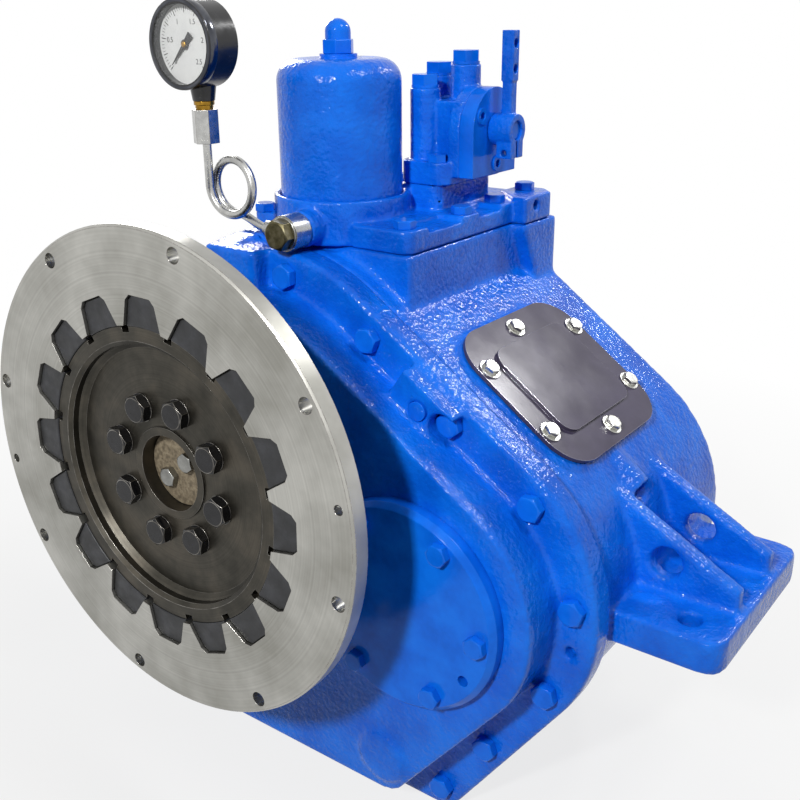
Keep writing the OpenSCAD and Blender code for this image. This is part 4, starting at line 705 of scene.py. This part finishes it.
def pipeRoute():
    startY, startZ = pipe["start"][1:]
    loopX, loopZ = pipe["loop"]
    reach = pipe["loopRadius"]
    rise = loopZ - reach - startZ
    route = [pipe["start"]]
    for i in range(pipe["riseSteps"]):
        share = i / pipe["riseSteps"]
        route.append((pipe["socketEnd"] + share * (loopX - pipe["socketEnd"]), startY,
                      startZ + rise * share * share * (3 - 2 * share)))
    for i in range(pipe["turnSteps"] + 1):
        share = i / pipe["turnSteps"]
        turn = math.radians(pipe["loopDegrees"] * share)
        route.append((loopX - reach * math.sin(turn), startY - pipe["drift"] * share,
                      loopZ - reach * math.cos(turn)))
    route.append((route[-1][0], route[-1][1], pipe["top"]))
    return [Vector(place) * mm for place in route]


def tubeTree():
    tree, given = newTree("sweptTube", {"Radius": "Float", "Sides": "Int"})
    path = addNode(tree, "GeometryNodeMeshToCurve", {"Mesh": given["Geometry"]})
    ring = addNode(tree, "GeometryNodeCurvePrimitiveCircle", {
        "Resolution": given["Sides"], "Radius": given["Radius"]})
    tube = addNode(tree, "GeometryNodeCurveToMesh", {
        "Curve": path, "Profile Curve": ring, "Fill Caps": True})
    return endTree(tree, tube, given["Finish"])


def makePipe():
    piece = growFromPoints("gaugePipe", pipeRoute(), tubeTree(), {
        "Radius": pipe["radius"] * mm, "Sides": pipe["sides"],
        "Finish": materials[pipe["coat"]]}, joined=True)
    dress(piece, [pipe["coat"]], bodyOf("gauge_pipe"), ["gauge_pipe"], sharp=foldAngle["turned"])


makePipe()
print("pipe swept")

# dial print: ticks round the scale and the numbers, as thin pieces on the dial face
dial = {"centre": (-55, 279), "face": 110.2, "radius": 25, "first": 225, "sweep": 270, "steps": 50,
        "longTick": 4.2, "shortTick": 2.4, "tickWidth": 0.32, "tickDepth": 0.1, "longEvery": 5,
        "longBoldness": 1.8, "numberDepth": 0.05,
        "numbers": ("0", "0.5", "1", "1.5", "2", "2.5"), "numberRadius": 16.5, "numberSize": 5.2}


def tickTree():
    tree, given = newTree("dialTicks", {
        "Radius": "Float", "Long Tick": "Float", "Short Tick": "Float", "Tick Width": "Float",
        "Steps": "Int", "Long Every": "Int", "First": "Float", "Sweep": "Float"})
    maths = "ShaderNodeMath"
    count = addNode(tree, maths, {"operation": "ADD", 0: given["Steps"], 1: 1.0})
    line = addNode(tree, "GeometryNodeMeshLine", {"Count": count})
    points = addNode(tree, "GeometryNodeMeshToPoints", {"Mesh": line})
    index = addNode(tree, "GeometryNodeInputIndex")
    along = addNode(tree, maths, {"operation": "DIVIDE", 0: index, 1: given["Steps"]})
    swept = addNode(tree, maths, {"operation": "MULTIPLY", 0: along, 1: given["Sweep"]})
    angle = addNode(tree, maths, {"operation": "SUBTRACT", 0: given["First"], 1: swept})
    place = addNode(tree, maths, {"operation": "MODULO", 0: index, 1: given["Long Every"]})
    isLong = addNode(tree, maths, {"operation": "LESS_THAN", 0: place, 1: 0.5})
    length = addNode(tree, "ShaderNodeMix", {0: isLong, 2: given["Short Tick"], 3: given["Long Tick"]})
    half = addNode(tree, maths, {"operation": "MULTIPLY", 0: length, 1: 0.5})
    reach = addNode(tree, maths, {"operation": "SUBTRACT", 0: given["Radius"], 1: half})
    cosine = addNode(tree, maths, {"operation": "COSINE", 0: angle})
    sine = addNode(tree, maths, {"operation": "SINE", 0: angle})
    spot = addNode(tree, "ShaderNodeCombineXYZ", {
        0: addNode(tree, maths, {"operation": "MULTIPLY", 0: reach, 1: cosine}),
        2: addNode(tree, maths, {"operation": "MULTIPLY", 0: reach, 1: sine})})
    placed = addNode(tree, "GeometryNodeSetPosition", {"Geometry": points, "Position": spot})
    bar = addNode(tree, "GeometryNodeMeshCube", {"Size": (1, dial["tickDepth"] * mm, 1)})
    bold = addNode(tree, "ShaderNodeMix", {0: isLong, 2: 1.0, 3: dial["longBoldness"]})
    width = addNode(tree, maths, {"operation": "MULTIPLY", 0: given["Tick Width"], 1: bold})
    size = addNode(tree, "ShaderNodeCombineXYZ", {0: length, 1: 1.0, 2: width})
    back = addNode(tree, maths, {"operation": "MULTIPLY", 0: angle, 1: -1.0})
    turn = addNode(tree, "ShaderNodeCombineXYZ", {1: back})
    copies = addNode(tree, "GeometryNodeInstanceOnPoints", {
        "Points": placed, "Instance": bar, "Rotation": turn, "Scale": size})
    return endTree(tree, copies, given["Finish"])


def makeDial():
    ticks = growFromPoints("dialTicks", [(0, 0, 0)], tickTree(), {
        "Radius": dial["radius"] * mm, "Long Tick": dial["longTick"] * mm,
        "Short Tick": dial["shortTick"] * mm, "Tick Width": dial["tickWidth"] * mm,
        "Steps": dial["steps"], "Long Every": dial["longEvery"],
        "First": math.radians(dial["first"]), "Sweep": math.radians(dial["sweep"]),
        "Finish": materials["printBlack"]})
    middle = Vector((dial["centre"][0], dial["face"], dial["centre"][1])) * mm
    ticks.data.transform(Matrix.Translation(middle))
    dress(ticks, ["printBlack"], "case")
    for i, number in enumerate(dial["numbers"]):
        angle = math.radians(dial["first"] - dial["sweep"] * i / (len(dial["numbers"]) - 1))
        words = bpy.data.curves.new("number", "FONT")
        words.body = number
        words.size = dial["numberSize"] * mm
        words.extrude = dial["numberDepth"] * mm
        words.align_x = "CENTER"
        words.align_y = "CENTER"
        source = linked("number", words)
        graph = bpy.context.evaluated_depsgraph_get()
        mesh = bpy.data.meshes.new_from_object(source.evaluated_get(graph))
        bpy.data.objects.remove(source)
        reach = dial["numberRadius"] * mm
        spot = middle + Vector((reach * math.cos(angle), 0, reach * math.sin(angle)))
        mesh.transform(Matrix.Translation(spot) @ Matrix.Rotation(math.radians(90), 4, "X"))
        dress(linked("dialNumber%d" % i, mesh), ["printBlack"], "case")


makeDial()
print("dial printed")

# stage: pale floor that fades to white away from the part, and soft light
stageLook = {"floor": -292, "gap": 0.4, "size": 9, "tone": "#bcbcba", "ambient": 0.06,
             "near": (0.45, 0.8), "far": (1.3, 1.0)}  # distance in metres and share of white
lamps = {
    # in front and above: lights the front faces and throws the ring's shadow on the cover
    "keySoftbox": {"at": (0.39, -1.25, 0.96), "aim": (0.05, 0.1, -0.02), "size": (0.14, 0.14),
                   "power": 24.5},
    # above on the right: lights the slope and the tops, and rakes across the side walls
    "overheadSoftbox": {"at": (0.95, 0.25, 1.36), "aim": (0.12, 0.2, 0), "size": (0.28, 0.28),
                        "power": 9},
    # behind and above: draws white glints along the sloped faces
    "rearSoftbox": {"at": (0.50, 1.25, 0.95), "aim": (0.15, 0.15, 0.05), "size": (0.16, 0.14),
                    "power": 7},
    # behind on the left: opens up the sides that face away from the photograph
    "leftSoftbox": {"at": (-1.2, 1.05, 0.7), "aim": (0, 0.2, 0), "size": (0.4, 0.4), "power": 10},
}


# 1 where the camera, a reflection or a view through glass meets the background
def backgroundSeen(tree):
    path = addNode(tree, "ShaderNodeLightPath").outputs
    direct = addNode(tree, "ShaderNodeMath", {
        "operation": "MAXIMUM", 0: path["Is Camera Ray"], 1: path["Is Glossy Ray"]})
    return addNode(tree, "ShaderNodeMath", {
        "operation": "MAXIMUM", 0: direct, 1: path["Is Transmission Ray"]})


def makeFloor():
    work = bmesh.new()
    bmesh.ops.create_grid(work, x_segments=1, y_segments=1, size=stageLook["size"])
    height = (stageLook["floor"] - stageLook["gap"]) * mm
    bmesh.ops.translate(work, verts=work.verts, vec=(0, 0, height))
    floor = asObject("floor", work)
    material = bpy.data.materials.new("palePaper")
    material.use_nodes = True
    tree = material.node_tree
    tree.nodes.clear()
    paper = addNode(tree, "ShaderNodeBsdfDiffuse", {"Color": linear(stageLook["tone"])})
    glow = addNode(tree, "ShaderNodeEmission", {"Color": (1, 1, 1, 1), "Strength": 1.0})
    place = addNode(tree, "ShaderNodeTexCoord").outputs["Object"]
    away = addNode(tree, "ShaderNodeVectorMath", {"operation": "LENGTH", 0: place}).outputs["Value"]
    fade = addNode(tree, "ShaderNodeMapRange", {
        "Value": away, "From Min": stageLook["near"][0], "From Max": stageLook["far"][0],
        "To Min": stageLook["near"][1], "To Max": stageLook["far"][1]})
    share = addNode(tree, "ShaderNodeMath", {"operation": "MULTIPLY", 0: backgroundSeen(tree), 1: fade})
    mixed = addNode(tree, "ShaderNodeMixShader", {0: share, 1: paper, 2: glow})
    addNode(tree, "ShaderNodeOutputMaterial", {"Surface": mixed})
    floor.data.materials.append(material)


def makeLight():
    for name, lamp in lamps.items():
        data = bpy.data.lights.new(name, "AREA")
        data.shape = "RECTANGLE"
        data.size, data.size_y = lamp["size"]
        data.energy = lamp["power"]
        aim = Vector(lamp["aim"]) - Vector(lamp["at"])
        turn = aim.to_track_quat("-Z", "Y").to_matrix().to_4x4()
        linked(name, data).matrix_world = Matrix.Translation(lamp["at"]) @ turn
    world = bpy.data.worlds.new("studio")
    scene.world = world
    world.use_nodes = True
    tree = world.node_tree
    tree.nodes.clear()
    strength = addNode(tree, "ShaderNodeMapRange", {
        "Value": backgroundSeen(tree), "To Min": stageLook["ambient"], "To Max": 1.0})
    sky = addNode(tree, "ShaderNodeBackground", {"Color": (1, 1, 1, 1), "Strength": strength})
    addNode(tree, "ShaderNodeOutputWorld", {"Surface": sky})


makeFloor()
makeLight()
print("stage lit")
